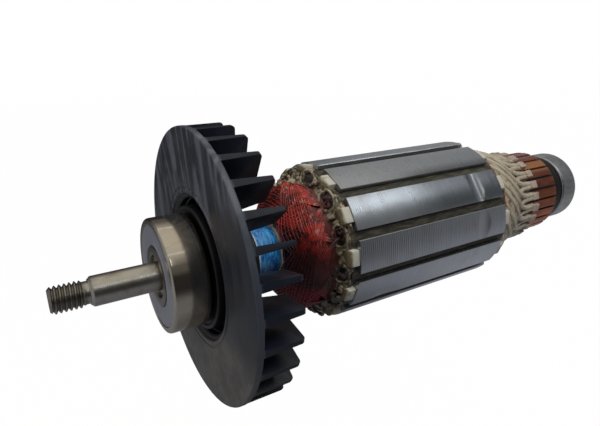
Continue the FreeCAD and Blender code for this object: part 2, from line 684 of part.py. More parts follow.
def make_moulding():
    """Insulating body of the commutator, with a rib between every two bars."""
    body = new_body("commutator_moulding", bars_front - d.front_flange, d.bar_phase)
    bore, core = d.shaft_diameter / 2, d.commutator_core / 2
    front, rear = d.front_flange_diameter / 2, d.rear_flange_diameter / 2
    behind = d.front_flange + d.bar_length
    end = behind + d.rear_flange
    turn(body, "Hub", [
        (0, bore), (end, bore), (end, rear), (behind, rear), (behind, core),
        (d.front_flange, core), (d.front_flange, front), (0, front)])
    section = new_sketch(body, "RibSection", "YZ_Plane", d.front_flange)
    half, foot = d.bar_gap / 2, core - d.bar_gap
    top = d.commutator_diameter / 2 - d.undercut
    outline(section, [(-half, foot), (half, foot), (half, top), (-half, top)])
    rib = feature(body, "Pad", "Rib", section, Length=d.bar_length)
    round_pattern(body, "Ribs", [rib], d.bar_count)


def make_rear_ring():
    """Ring on the shaft between the commutator and the rear bearing."""
    body = new_body("rear_ring", rear_ring_front)
    bore, boss, outer = d.shaft_diameter / 2, d.rear_boss_diameter / 2, d.rear_ring_diameter / 2
    long, length = d.rear_ring_length + d.running_gap, d.rear_ring_length
    turn(body, "Ring", [(0, bore), (long, bore), (long, boss), (length, boss), (length, outer),
                        (0, outer)])


def make_armature():
    make_shaft()
    make_bearing("drive", drive_front, d.shaft_diameter, d.drive_outside, d.drive_width,
                 d.drive_pitch, d.drive_balls)
    make_dust_ring()
    make_fan()
    bore = d.shaft_diameter
    tube("shaft_insulation", hub_end, bars_front - d.front_flange - hub_end, d.tube_diameter, bore)
    tube("tape_wrap", hub_end, d.tape_length, d.tube_diameter + d.tape_thickness * 2,
         d.tube_diameter)
    make_core()
    make_end_insulator("front_insulator", tape_end, True, core_front - tape_end - d.finger_length)
    make_end_insulator("rear_insulator", core_back, False, d.rear_neck_length)
    make_liners()
    make_coil_sides()
    make_wedges()
    make_front_winding()
    make_rear_winding()
    make_leads()
    make_moulding()
    make_bars()
    make_rear_ring()
    make_bearing("rear", rear_front, d.rear_diameter, d.rear_outside, d.rear_width,
                 d.rear_pitch, d.rear_balls)


def check_document():
    """Stops with a plain message if anything in the document failed."""
    for thing in doc.Objects:
        for state in ("Invalid", "Error"):
            if state in thing.State:
                raise RuntimeError("%s is %s" % (thing.Name, state))
    for node in NODES:
        if node.Shape.isNull() or not node.Shape.isValid() or not node.Shape.Solids:
            raise RuntimeError("%s has no valid solid" % node.Label)


def write_parts():
    os.makedirs("parts", exist_ok=True)
    for node in NODES:
        node.Shape.exportStep("parts/%s.step" % node.Label)
        box = node.Shape.BoundBox
        print("%-22s %2d solids %9.1f mm3  x %7.2f to %7.2f  radius %5.2f" % (
            node.Label, len(node.Shape.Solids), node.Shape.Volume, box.XMin, box.XMax, box.ZMax))


make_armature()
doc.recompute()
check_document()
write_parts()
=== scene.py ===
import json
import math
import random
from contextlib import contextmanager

import bmesh
import bpy
from mathutils import Matrix, Vector, noise
from mathutils.geometry import tessellate_polygon


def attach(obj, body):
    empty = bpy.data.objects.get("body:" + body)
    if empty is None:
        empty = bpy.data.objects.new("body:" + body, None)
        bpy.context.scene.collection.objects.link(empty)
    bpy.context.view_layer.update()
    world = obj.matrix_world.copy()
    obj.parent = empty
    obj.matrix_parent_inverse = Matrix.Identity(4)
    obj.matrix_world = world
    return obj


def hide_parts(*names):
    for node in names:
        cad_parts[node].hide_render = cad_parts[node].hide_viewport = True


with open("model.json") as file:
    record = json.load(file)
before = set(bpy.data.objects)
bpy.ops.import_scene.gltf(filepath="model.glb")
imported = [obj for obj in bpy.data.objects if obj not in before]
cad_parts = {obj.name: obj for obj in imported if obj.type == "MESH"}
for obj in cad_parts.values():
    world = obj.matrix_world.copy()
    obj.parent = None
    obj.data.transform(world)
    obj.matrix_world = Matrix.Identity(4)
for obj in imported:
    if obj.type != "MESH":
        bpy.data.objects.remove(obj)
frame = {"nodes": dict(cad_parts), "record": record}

bl_info = {
    "name": "Motor armature",
    "version": (1, 0, 0),
    "blender": (4, 5, 0),
    "location": "View3D > Sidebar > Armature",
    "description": "Dresses a wound motor armature: bearings, fan, core, windings and commutator",
    "category": "Object",
}

MM = 0.001


def shade(red, green, blue):
    """A colour given as it looks on a screen, 0 to 255, as the light that Blender reckons with."""
    return tuple(((c / 255 + 0.055) / 1.055) ** 2.4 if c > 10 else c / 255 / 12.92
                 for c in (red, green, blue))


def colour_size(default, name, description):
    """A setting for a colour."""
    return bpy.props.FloatVectorProperty(name=name, description=description, default=default,
                                         subtype="COLOR", size=3, min=0.0, max=1.0)


def length_size(millimetres, name, description):
    """A setting for a length, kept in metres."""
    return bpy.props.FloatProperty(name=name, description=description, default=millimetres * MM,
                                   subtype="DISTANCE", unit="LENGTH", precision=5)


class ColourSettings(bpy.types.PropertyGroup):
    bearing: colour_size(shade(206, 198, 184), "Bearing steel", "Ground steel of the bearings")
    shaft: colour_size(shade(198, 194, 186), "Shaft steel", "Turned steel of the shaft")
    seal: colour_size(shade(186, 190, 200), "Seals", "Pressed covers of the bearings")
    core: colour_size(shade(203, 209, 217), "Core steel", "Sheets of the core")
    copper: colour_size(shade(206, 128, 90), "Copper", "Bars of the commutator")
    wire: colour_size(shade(188, 54, 45), "Wire enamel", "Enamel on the turns by the fan")
    resin: colour_size(shade(196, 188, 168), "Resin", "Resin over the leads and hooks")
    fibre: colour_size(shade(206, 204, 191), "Fibre", "Fingers on the teeth of the core")
    tape: colour_size(shade(14, 78, 166), "Tape", "Tape between the fan and the turns")
    plastic: colour_size(shade(20, 26, 39), "Fan plastic", "Clean plastic of the fan")
    rubber: colour_size(shade(13, 14, 18), "Rubber", "Ring on each side of the armature")


def tint(name):
    """A colour from the settings."""
    return tuple(getattr(bpy.context.scene.armature_colours, name))


# ---- nodes, and sums on their sockets

class Tone:
    """A socket of a node that can be used in a sum."""

    def __init__(self, nodes, socket):
        self.nodes, self.socket = nodes, socket

    def _sum(self, operation, *values):
        return self.nodes.node("ShaderNodeMath", {"operation": operation},
                               dict(enumerate(values)))[0]

    def __add__(self, other):
        return self._sum("ADD", self, other)

    def __radd__(self, other):
        return self._sum("ADD", other, self)

    def __sub__(self, other):
        return self._sum("SUBTRACT", self, other)

    def __rsub__(self, other):
        return self._sum("SUBTRACT", other, self)

    def __mul__(self, other):
        return self._sum("MULTIPLY", self, other)

    def __rmul__(self, other):
        return self._sum("MULTIPLY", other, self)

    def __truediv__(self, other):
        return self._sum("DIVIDE", self, other)

    def __pow__(self, other):
        return self._sum("POWER", self, other)

    def __abs__(self):
        return self._sum("ABSOLUTE", self)

    def part(self):
        """What is left over a whole number."""
        return self._sum("FRACT", self)

    def whole(self):
        """The whole number below."""
        return self._sum("FLOOR", self)

    def at_most(self, level):
        """The lower one of the value and a level."""
        return self._sum("MINIMUM", self, level)

    def angle_over(self, other):
        """The angle of a slope that rises by this one over a run of the other."""
        return self._sum("ARCTAN2", self, other)

    def rise(self, low, high):
        """0 below low, 1 above high, and a smooth rise between them."""
        settings = {"interpolation_type": "SMOOTHSTEP"}
        return self.nodes.node("ShaderNodeMapRange", settings, {0: self, 1: low, 2: high})[0]


def set_stops(ramp, stops):
    """Puts (place, colour) stops in a colour ramp."""
    while len(ramp.elements) < len(stops):
        ramp.elements.new(0.5)
    for element, (place, colour) in zip(ramp.elements, stops):
        element.position = place
        element.color = (*colour, 1)


class Nodes:
    """The nodes of one tree, which all come from one method."""

    def __init__(self, tree):
        self.tree = tree

    def join(self, socket, value):
        """Gives an input a fixed value, or links it to another node."""
        if isinstance(value, Tone):
            self.tree.links.new(value.socket, socket)
        else:
            socket.default_value = value

    def node(self, kind, settings=None, inputs=None):
        """Adds a node, its settings first; gives its outputs."""
        made = self.tree.nodes.new(kind)
        for key, value in (settings or {}).items():
            if key == "stops":
                set_stops(made.color_ramp, value)
            else:
                setattr(made, key, value)
        for key, value in (inputs or {}).items():
            self.join(made.inputs[key], value)
        return [Tone(self, output) for output in made.outputs]

    def named(self, kind):
        """Adds a node that needs no inputs; gives its outputs by name."""
        return {tone.socket.name: tone for tone in self.node(kind)}


def solid_colour(colour):
    """A colour with its alpha, or the socket that gives one."""
    return colour if isinstance(colour, Tone) else (*colour, 1)


def from_axis(y, z):
    """Distance from the shaft axis."""
    return (y * y + z * z) ** 0.5


class Finish(Nodes):
    """A material in the making."""

    def __init__(self, name, colour, roughness, **shader):
        self.material = bpy.data.materials.new(name)
        self.material.use_nodes = True
        self.material.diffuse_color = (*colour, 1)
        super().__init__(self.material.node_tree)
        self.shader = self.tree.nodes["Principled BSDF"]
        self.set("Base Color", (*colour, 1))
        self.set("Roughness", roughness)
        for key, value in shader.items():
            self.set(key.replace("_", " "), value)

    def set(self, key, value):
        """Sets an input of the shader, or links it."""
        self.join(self.shader.inputs[key], value)

    def end_with(self, surface):
        """Puts another shader at the end of the material."""
        output = next(n for n in self.tree.nodes if n.type == "OUTPUT_MATERIAL")
        self.join(output.inputs["Surface"], surface)

    def point(self, stretch=(1, 1, 1)):
        """The place on the object in millimetres, stretched along the axes."""
        return self.node("ShaderNodeMapping", inputs={
            "Vector": self.named("ShaderNodeTexCoord")["Object"],
            "Scale": tuple(s / MM for s in stretch)})[0]

    def leaned(self, degrees, stretch):
        """The place on the object turned about the shaft axis, then stretched."""
        turned_place = self.node("ShaderNodeMapping", inputs={
            "Vector": self.point(), "Rotation": (math.radians(degrees), 0, 0)})[0]
        return self.node("ShaderNodeMapping", inputs={
            "Vector": turned_place, "Scale": stretch})[0]

    def axes(self):
        """Millimetres along the shaft towards the commutator, to the left and up."""
        return self.node("ShaderNodeSeparateXYZ", inputs={0: self.point()})

    def cloud(self, point, scale, detail=3.0, roughness=0.5, distortion=0.0):
        """Soft patches from 0 to 1."""
        return self.node("ShaderNodeTexNoise", inputs={
            "Vector": point, "Scale": scale, "Detail": detail, "Roughness": roughness,
            "Distortion": distortion})[0]

    def bands(self, position, scale, detail=2.0):
        """Soft bands along one measure, from 0 to 1."""
        return self.node("ShaderNodeTexNoise", {"noise_dimensions": "1D"}, {
            "W": position, "Scale": scale, "Detail": detail})[0]

    def step_tint(self, number):
        """A value from 0 to 1 for each whole number."""
        return self.node("ShaderNodeTexWhiteNoise", {"noise_dimensions": "1D"}, {"W": number})[0]

    def blend(self, factor, first, second):
        """A colour between two others."""
        settings = {"data_type": "RGBA", "blend_type": "MIX", "clamp_factor": True}
        return self.node("ShaderNodeMix", settings, {
            0: factor, 6: solid_colour(first), 7: solid_colour(second)})[2]

    def dim(self, colour, amount):
        """A colour made darker or lighter by a factor."""
        level = self.node("ShaderNodeCombineColor", inputs={0: amount, 1: amount, 2: amount})[0]
        settings = {"data_type": "RGBA", "blend_type": "MULTIPLY"}
        return self.node("ShaderNodeMix", settings, {
            0: 1.0, 6: solid_colour(colour), 7: level})[2]

    def stops(self, position, stops):
        """Colours along one measure from 0 to 1."""
        return self.node("ShaderNodeValToRGB", {"stops": stops}, {0: position})[0]

    def relief(self, height, depth):
        """Raises the surface by height, at most by depth millimetres."""
        self.set("Normal", self.node("ShaderNodeBump", inputs={
            "Height": height, "Distance": depth * MM, "Strength": 1.0})[0])


# ---- finishes

def turned_steel():
    """Turned steel with a warm tint, darker in the thread."""
    looks = Finish("turned steel", tint("shaft"), 0.26, Metallic=1.0)
    x = looks.axes()[0]
    lines = looks.bands(x, 9.0, 4.0)
    stains = looks.cloud(looks.point(), 0.5, 4.0)
    steel = looks.blend(stains.rise(0.45, 0.75) * 0.5, tint("shaft"), shade(150, 138, 120))
    thread = (1 - x.rise(-16.4, -15.2)) * 0.45
    looks.set("Base Color", looks.blend(thread, steel, shade(104, 98, 90)))
    looks.set("Roughness", 0.2 + lines * 0.16 + stains * 0.06)
    looks.relief(lines, 0.004)
    return looks


def bearing_steel():
    """Ground steel, darker on the front faces near the shaft, with a painted dark reflection of
    the fan's recess at its rear edge by the fan.
    """
    looks = Finish("ground bearing steel", tint("bearing"), 0.12, Metallic=1.0)
    x, y, z = looks.axes()
    out = from_axis(y, z)
    scuffs = looks.cloud(looks.point((0.3, 1, 1)), 2.6, 5.0, 0.6)
    lines = looks.bands(x, 14.0, 3.0)
    steel = looks.blend(scuffs.rise(0.5, 0.8) * 0.35, tint("bearing"), shade(160, 148, 128))
    # Painted dark reflection of the fan's recess at the rear edge of the drive bearing; the rear
    # bearing's inner race lies past it and takes it all over.
    painted_recess_reflection = (x + scuffs * 0.4).rise(2.9, 3.5) * 0.8
    bore = (1 - out.rise(5.6, 6.4)) * 0.75
    steel = looks.blend(painted_recess_reflection, steel, shade(58, 52, 44))
    looks.set("Base Color", looks.blend(bore, steel, shade(84, 74, 60)))
    looks.set("Roughness", 0.09 + lines * 0.05 + scuffs.rise(0.5, 0.75) * 0.1)
    looks.relief(lines, 0.0008)
    return looks


def satin_steel():
    """The rear bearing: the same steel, duller."""
    looks = Finish("satin bearing steel", tint("bearing"), 0.36, Metallic=1.0)
    grain = looks.cloud(looks.point((0.4, 1, 1)), 1.2, 4.0, 0.6)
    looks.set("Base Color", looks.blend(grain.rise(0.35, 0.7), shade(198, 200, 201),
                                        shade(174, 176, 178)))
    looks.set("Roughness", 0.3 + grain * 0.12)
    return looks


def ball_steel():
    """Polished steel of the balls."""
    looks = Finish("ball steel", shade(220, 220, 222), 0.06, Metallic=1.0)
    looks.set("Roughness", 0.04 + looks.cloud(looks.point(), 3.0) * 0.05)
    return looks


def cage_plastic():
    """Brown moulded plastic of the cages between the balls."""
    looks = Finish("cage plastic", shade(92, 84, 68), 0.5)
    looks.relief(looks.cloud(looks.point(), 6.0), 0.01)
    return looks


def seal_metal():
    """Pressed covers of the bearings, grey with a fine grain."""
    looks = Finish("seal", tint("seal"), 0.4, Metallic=0.5)
    grain = looks.cloud(looks.point(), 4.0, 5.0, 0.6)
    looks.set("Base Color", looks.dim(tint("seal"), 1 - grain.rise(0.4, 0.7) * 0.25))
    looks.set("Roughness", 0.32 + grain * 0.2)
    looks.relief(grain, 0.006)
    return looks


def black_rubber():
    """Dull black of the dust ring and of the ring behind the commutator."""
    looks = Finish("black rubber", tint("rubber"), 0.42)
    grain = looks.cloud(looks.point(), 5.0, 4.0)
    looks.set("Roughness", 0.3 + grain * 0.25)
    looks.relief(grain, 0.01)
    return looks


def fan_plastic():
    """Dark moulded plastic, with dust and rubbed streaks on the face of the disc, painted shadow
    on its near side, painted light from below on its lower half, and a bluish rim that is partly
    dust and partly painted highlight.
    """
    looks = Finish("satin charcoal plastic", tint("plastic"), 0.4)
    x, y, z = looks.axes()
    out = from_axis(y, z)
    fine = looks.cloud(looks.point(), 9.0, 3.0, 0.6)
    streaks = looks.cloud(looks.leaned(14, (0.2, 0.3, 0.05)), 1.0, 5.0, 0.64, 0.9)
    clouds = looks.cloud(looks.point(), 0.2, 5.0, 0.65)
    face = (1 - x.rise(4.9, 5.4)) * out.rise(13.9, 14.9)
    upper = z.rise(-6.0, 4.0)
    # Painted shadow on the near side of the face, where the dust is mostly left out.
    side = (clouds * 10 - y).rise(13.0, 19.0) * (1 - abs(z - 4.0).rise(9.0, 16.0))
    dust = upper * (0.12 + streaks.rise(0.45, 0.6) * 0.72 + clouds.rise(0.45, 0.62) * 0.12)
    # Painted light from below: the lower half of the face turns warm grey.
    low = (1 - upper) * (0.55 + clouds.rise(0.4, 0.6) * 0.4)
    # The face of the disc, less the painted shadow.
    painted_lit_area = face * (1 - side * 0.85)
    colour = looks.blend(dust * painted_lit_area, tint("plastic"), shade(122, 125, 134))
    colour = looks.blend(low * painted_lit_area, colour, shade(112, 108, 101))
    # Bluish outer rim: partly dust, partly painted highlight on the edge.
    rim = (1 - x.rise(5.3, 5.8)) * out.rise(26.85, 27.1) * 0.5
    looks.set("Base Color", looks.blend(rim, colour, shade(84, 90, 102)))
    looks.set("Roughness", 0.3 + streaks * 0.16 + dust * 0.14)
    looks.relief(fine, 0.008)
    return looks


def cream_fibre():
    """Cream fibre, brown at the ends of the fingers."""
    looks = Finish("cream fibre", tint("fibre"), 0.6)
    place = looks.point()
    x = looks.axes()[0]
    stains = looks.cloud(place, 0.55, 4.0, 0.6)
    fine = looks.cloud(place, 5.0, 4.0, 0.6)
    ends = (1 - (x + stains * 1.1).rise(29.9, 30.4)) * x.rise(26.5, 28.0)
    brown = looks.blend(fine.rise(0.4, 0.7), shade(126, 112, 82), shade(74, 60, 44))
    cream = looks.blend(stains.rise(0.56, 0.74) * 0.8, tint("fibre"), shade(132, 112, 84))
    looks.set("Base Color", looks.blend(ends, cream, brown))
    looks.set("Roughness", 0.42 + fine * 0.3)
    looks.relief(fine, 0.03)
    return looks


def blue_tape():
    """Blue tape, with painted sheen on its creases and painted shade below, and a white edge by
    the fan that shows wear.
    """
    looks = Finish("blue tape", tint("tape"), 0.26, Coat_Weight=0.6, Coat_Roughness=0.12)
    x, _, z = looks.axes()
    creases = looks.cloud(looks.point((1.6, 0.5, 0.5)), 1.1, 3.0, 0.6, 0.8)
    # Painted sheen of lighter azure on the creases, and painted shade on the lower side.
    blue = looks.blend(creases.rise(0.34, 0.66), tint("tape"), shade(72, 172, 236))
    blue = looks.blend((0 - z).rise(-1.5, 3.5) * 0.6, blue, shade(10, 58, 140))
    edge = 1 - (x + creases * 0.9).rise(16.1, 16.5)
    looks.set("Base Color", looks.blend(edge, blue, shade(214, 222, 228)))
    looks.relief(creases, 0.1)
    return looks


def lamination_steel():
    """Turned edges of the sheets, each in its own tone, with painted shade by the deep cut where
    the highlight on the upper near tooth fades.
    """
    looks = Finish("laminated steel", tint("core"), 0.34, Metallic=1.0)
    x, y, z = looks.axes()
    out = from_axis(y, z)
    sheet = x / 0.5
    tone = looks.step_tint(sheet.whole())
    seam = abs(sheet.part() - 0.5).rise(0.42, 0.5)
    cut = looks.cloud(looks.point((9, 0.6, 0.6)), 1.0, 4.0, 0.6)
    stains = looks.cloud(looks.point(), 0.22, 5.0, 0.6)
    steel = looks.blend(stains.rise(0.5, 0.75) * 0.4, tint("core"), shade(180, 180, 174))
    # Painted shade on the rear of the upper near tooth, by the deep cut, where its highlight
    # fades; stronger on its outer face.
    highlight_falloff_shade = (x + stains * 9).rise(46.0, 62.0) * (0 - y).rise(7.5, 10.0) * z.rise(5.5, 8.5)
    highlight_falloff_shade = highlight_falloff_shade * (0.45 + out.rise(16.85, 17.05) * 0.55)
    steel = looks.blend(highlight_falloff_shade * 0.72, steel, shade(100, 105, 110))
    looks.set("Base Color", looks.dim(steel, 0.92 - seam * 0.12 + tone * 0.06 + cut * 0.08))
    looks.set("Roughness", 0.21 + cut * 0.1 + stains * 0.06)
    looks.relief(cut * 0.7 - seam * 0.5, 0.0025)
    return looks


def liner_paper():
    """Varnished brown paper of the slot liners."""
    looks = Finish("varnished liner", shade(120, 104, 78), 0.4, Coat_Weight=0.3)
    patches = looks.cloud(looks.point(), 0.8, 5.0, 0.65)
    looks.set("Base Color", looks.blend(patches.rise(0.35, 0.7), shade(160, 152, 134),
                                        shade(84, 70, 54)))
    looks.relief(patches, 0.1)
    return looks


def wedge_fibre():
    """Dark fibre strips in the slot openings, with their grain along the shaft."""
    looks = Finish("dark olive fibre", shade(52, 50, 42), 0.5)
    grain = looks.cloud(looks.point((0.15, 1, 1)), 2.5, 4.0, 0.6)
    looks.set("Base Color", looks.blend(grain.rise(0.4, 0.7), shade(52, 50, 43),
                                        shade(94, 90, 76)))
    looks.relief(grain, 0.03)
    return looks


def red_wire():
    """Red enamel under varnish, bright with painted glints above, nearly black at the side in
    painted shade, and dull below with painted light from below in purple-red.
    """
    looks = Finish("red enamelled wire", tint("wire"), 0.3, Coat_Roughness=0.1)
    x, _, z = looks.axes()
    patches = looks.cloud(looks.point(), 0.3, 5.0, 0.65)
    fine = looks.cloud(looks.point(), 3.0, 3.0, 0.6)
    red = looks.blend(patches.rise(0.42, 0.64), tint("wire"), shade(96, 18, 20))
    # Painted glints: pinkish-white streaks on the upper turns.
    glints = looks.cloud(looks.point((0.9, 1.0, 0.14)), 1.0, 4.0, 0.6, 0.5)
    glints = glints.rise(0.53, 0.66) * z.rise(1.0, 6.0) * x.rise(22.0, 24.0)
    red = looks.blend(glints * 0.55, red, shade(232, 172, 162))
    # Painted shade: nearly black at the side, for the shadow of the blades and a dark reflection.
    side = (patches * 10.0 - z).rise(-4.5, 4.0) * 0.93
    red = looks.blend(side, red, shade(40, 9, 12))
    # Painted light from below: a dull purple-red on the lower turns, which are also rougher with
    # less coat.
    below = (patches * 4.0 - z).rise(5.5, 9.0)
    red = looks.blend(below * 0.95, red, shade(158, 62, 72))
    mouth = (x + patches * 2.0).rise(27.0, 28.6) * 0.9
    red = looks.blend(mouth, red, shade(44, 24, 20))
    looks.set("Base Color", looks.blend(fine.rise(0.62, 0.78) * 0.2, red, shade(206, 130, 118)))
    looks.set("Roughness", 0.16 + patches * 0.18 + below * 0.3)
    looks.set("Coat Weight", 1.0 - below * 0.85)
    looks.relief(fine, 0.02)
    return looks


def bedded_wire():
    """The deeper turns, painted dark red for the shade in the gaps between the upper wires."""
    looks = Finish("deep red wire", shade(70, 16, 16), 0.4, Coat_Weight=0.6)
    patches = looks.cloud(looks.point(), 0.6, 4.0, 0.6)
    looks.set("Base Color", looks.blend(patches.rise(0.4, 0.65), shade(98, 24, 22),
                                        shade(38, 10, 12)))
    looks.relief(patches, 0.1)
    return looks


def varnish_lump():
    """Hardened varnish, brown and nearly black, with pale fibre in it towards the top."""
    looks = Finish("varnish and fibre", shade(126, 112, 86), 0.35, Coat_Weight=0.8,
                   Coat_Roughness=0.12)
    patches = looks.cloud(looks.point(), 0.9, 6.0, 0.7, 0.6)
    cream = looks.cloud(looks.point(), 0.5, 5.0, 0.65)
    z = looks.axes()[2]
    brown = looks.blend(patches.rise(0.36, 0.62), shade(128, 114, 92), shade(40, 30, 25))
    light = (cream + z.rise(6.0, 12.0) * 0.1).rise(0.52, 0.66) * (0.35 + z.rise(-8.0, 5.0) * 0.45)
    looks.set("Base Color", looks.blend(light, brown, shade(186, 176, 150)))
    looks.set("Roughness", 0.22 + patches * 0.3)
    looks.relief(patches, 0.14)
    return looks


def dark_varnish():
    """Painted shade for the hole in each slot's mouth, with pinkish patches as painted glints."""
    looks = Finish("dark varnish", shade(30, 22, 22), 0.25, Coat_Weight=0.7)
    patches = looks.cloud(looks.point(), 1.0, 4.0, 0.6, 0.5)
    # Painted shade for the hole, with pinkish patches as painted glints.
    looks.set("Base Color", looks.blend(patches.rise(0.5, 0.7), shade(22, 16, 17),
                                        shade(126, 92, 88)))
    looks.relief(patches, 0.15)
    return looks


def cream_resin():
    """Resin over the leads and hooks: pinkish by the bars, with painted brown shade deep between
    the cords.
    """
    looks = Finish("cream resin", tint("resin"), 0.4, Coat_Weight=0.35, Coat_Roughness=0.2)
    patches = looks.cloud(looks.point(), 0.5, 5.0, 0.6)
    fine = looks.cloud(looks.point(), 2.6, 4.0, 0.6)
    x, y, z = looks.axes()
    pink = x.rise(91.0, 93.0) * 0.6
    cream = looks.blend(pink, tint("resin"), shade(178, 156, 148))
    # Painted shade: brown deep between the cords, below their crest.
    crest = 14.75 - (x - 80.6).rise(0.0, 8.0) * 2.35
    shade_between_cords = (crest - from_axis(y, z)).rise(0.3, 1.0) * (1 - x.rise(89.5, 91.0))
    cream = looks.blend(shade_between_cords * 0.85, cream, shade(104, 80, 60))
    looks.set("Base Color", looks.blend(patches.rise(0.5, 0.72) * 0.7, cream,
                                        shade(146, 116, 92)))
    looks.set("Roughness", 0.3 + fine * 0.25)
    looks.relief(fine, 0.05)
    return looks


def rear_resin():
    """Brown wire by the core, and resin over the turns towards the commutator."""
    looks = Finish("resin over brown wire", shade(128, 100, 78), 0.4, Coat_Weight=0.35)
    patches = looks.cloud(looks.point(), 0.7, 5.0, 0.6)
    x = looks.axes()[0]
    wire = looks.blend(patches.rise(0.4, 0.65), shade(124, 74, 58), shade(70, 46, 38))
    resin = looks.blend(patches.rise(0.45, 0.68), shade(186, 172, 148), shade(112, 80, 60))
    resin = looks.blend(x.rise(85.5, 87.5) * 0.9, resin, shade(84, 58, 46))
    looks.set("Base Color", looks.blend(x.rise(77.6, 78.6), wire, resin))
    looks.relief(patches, 0.08)
    return looks


def black_moulding():
    """Moulded body that holds the bars of the commutator."""
    looks = Finish("black moulding", shade(26, 22, 22), 0.4)
    looks.relief(looks.cloud(looks.point(), 4.0), 0.01)
    return looks


def commutator_copper():
    """Tarnished copper, with a painted highlight in one band above the middle."""
    looks = Finish("commutator copper", tint("copper"), 0.34, Metallic=1.0)
    scratches = looks.cloud(looks.point((14, 0.8, 0.8)), 1.0, 3.0, 0.6)
    tarnish = looks.cloud(looks.point((0.4, 1, 1)), 0.3, 4.0, 0.6)
    copper = looks.blend(tarnish.rise(0.35, 0.65), tint("copper"), shade(160, 98, 82))
    z = looks.axes()[2]
    # Painted highlight: a bright orange band on the bars above the middle.
    painted_lit_area = z.rise(7.6, 8.8) * (1 - z.rise(9.8, 10.4)) * 0.9
    copper = looks.blend(painted_lit_area, copper, shade(252, 178, 124))
    copper = looks.blend(z.rise(9.9, 10.5) * 0.8, copper, shade(196, 132, 120))
    looks.set("Base Color", looks.dim(copper, 0.84 + scratches * 0.3))
    looks.set("Roughness", 0.26 + scratches * 0.14)
    looks.relief(scratches, 0.01)
    return looks


MAKERS = {
    "turned_steel": turned_steel, "bearing_steel": bearing_steel, "satin_steel": satin_steel,
    "ball_steel": ball_steel, "cage_plastic": cage_plastic, "seal_rubber": seal_metal,
    "black_rubber": black_rubber, "fan_plastic": fan_plastic, "cream_plastic": cream_fibre,
    "blue_tape": blue_tape, "lamination_steel": lamination_steel, "liner_paper": liner_paper,
    "wedge_fibre": wedge_fibre, "red_enamel_wire": red_wire, "bedded_wire": bedded_wire,
    "varnish": varnish_lump, "dark_varnish": dark_varnish, "cream_resin": cream_resin,
    "rear_resin": rear_resin, "black_moulding": black_moulding,
    "commutator_copper": commutator_copper,
}

FINISHES = {}


def finish_of(name):
    """The material of a slot or finish, made at its first use."""
    if name not in FINISHES:
        FINISHES[name] = MAKERS[name]().material
    return FINISHES[name]


# ---- shapes

def smooth(mesh, angle):
    """Smooth shading, with edges sharper than an angle in degrees left hard."""
    for polygon in mesh.polygons:
        polygon.use_smooth = True
    mesh.set_sharp_from_angle(angle=math.radians(angle))


def piece(name, mesh, slot, body, stands_for=(), finish=None, angle=32):
    """Puts a finished mesh in the scene, riding on its body."""
    mesh.name = name
    mesh.materials.clear()
    mesh.materials.append(finish_of(finish or slot))
    smooth(mesh, angle)
    made = bpy.data.objects.new(name, mesh)
    bpy.context.scene.collection.objects.link(made)
    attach(made, body)
    if stands_for:
        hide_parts(*stands_for)
    return made


@contextmanager
def opened(mesh):
    """A mesh opened for editing, and written back at the end."""
    work = bmesh.new()
    work.from_mesh(mesh)
    yield work
    work.to_mesh(mesh)
    work.free()


def ease_edges(work, edges, size):
    """Rounds edges by a size in millimetres."""
    bmesh.ops.bevel(work, geom=edges, offset=size * MM, segments=2, profile=0.6,
                    affect="EDGES", clamp_overlap=True)


def mesh_of(vertices, faces, outward=True):
    """A mesh in metres from points in millimetres."""
    mesh = bpy.data.meshes.new("shape")
    mesh.from_pydata([tuple(c * MM for c in v) for v in vertices], [], faces)
    if outward:
        with opened(mesh) as work:
            bmesh.ops.remove_doubles(work, verts=work.verts, dist=1e-7)
            bmesh.ops.recalc_face_normals(work, faces=work.faces)
    return mesh


def joined(meshes):
    """One mesh from several."""
    result = bpy.data.meshes.new("joined")
    with opened(result) as work:
        for mesh in meshes:
            work.from_mesh(mesh)
    return result


def pairs(count, closed=True):
    """Each number with the next one, and the last with 0 where the round is closed."""
    return [(i, (i + 1) % count) for i in range(count if closed else count - 1)]


def quads(rows, size, rows_close=False, size_closes=True):
    """Faces between rows of points, with size points in each row."""
    return [(row * size + i, row * size + j, after * size + j, after * size + i)
            for row, after in pairs(rows, rows_close) for i, j in pairs(size, size_closes)]


def loft(rows):
    """A solid through rows of points, each row a closed loop."""
    count, size = len(rows), len(rows[0])
    last = (count - 1) * size
    faces = quads(count, size) + [tuple(range(size)),
                                  tuple(last + i for i in reversed(range(size)))]
    return mesh_of([point for row in rows for point in row], faces)


def steps(first, last, count):
    """Evenly spaced values from first to last."""
    return [first + (last - first) * i / count for i in range(count + 1)]


def ramp(value, low, high):
    """0 below low, 1 above high, and a straight line between them."""
    return min(1.0, max(0.0, (value - low) / (high - low)))


def around(x, r, degrees):
    """The point at a distance along the shaft, from its axis and round it."""
    angle = math.radians(degrees)
    return (x, r * math.cos(angle), r * math.sin(angle))


def eased(corners, closed=True, steps_each=4):
    """An outline of (along, out, easing) corners with each corner rounded by its easing."""
    points = []
    count = len(corners)
    for i, corner in enumerate(corners):
        here = Vector(corner[:2])
        ease = corner[2] if len(corner) > 2 else 0
        if not ease or (not closed and i in (0, count - 1)):
            points.append(tuple(here))
            continue
        before = Vector(corners[(i - 1) % count][:2]) - here
        after = Vector(corners[(i + 1) % count][:2]) - here
        first = here + before.normalized() * min(ease, before.length * 0.48)
        last = here + after.normalized() * min(ease, after.length * 0.48)
        points += [tuple(first * (1 - t) ** 2 + here * 2 * t * (1 - t) + last * t ** 2)
                   for t in steps(0, 1, steps_each)]
    return points


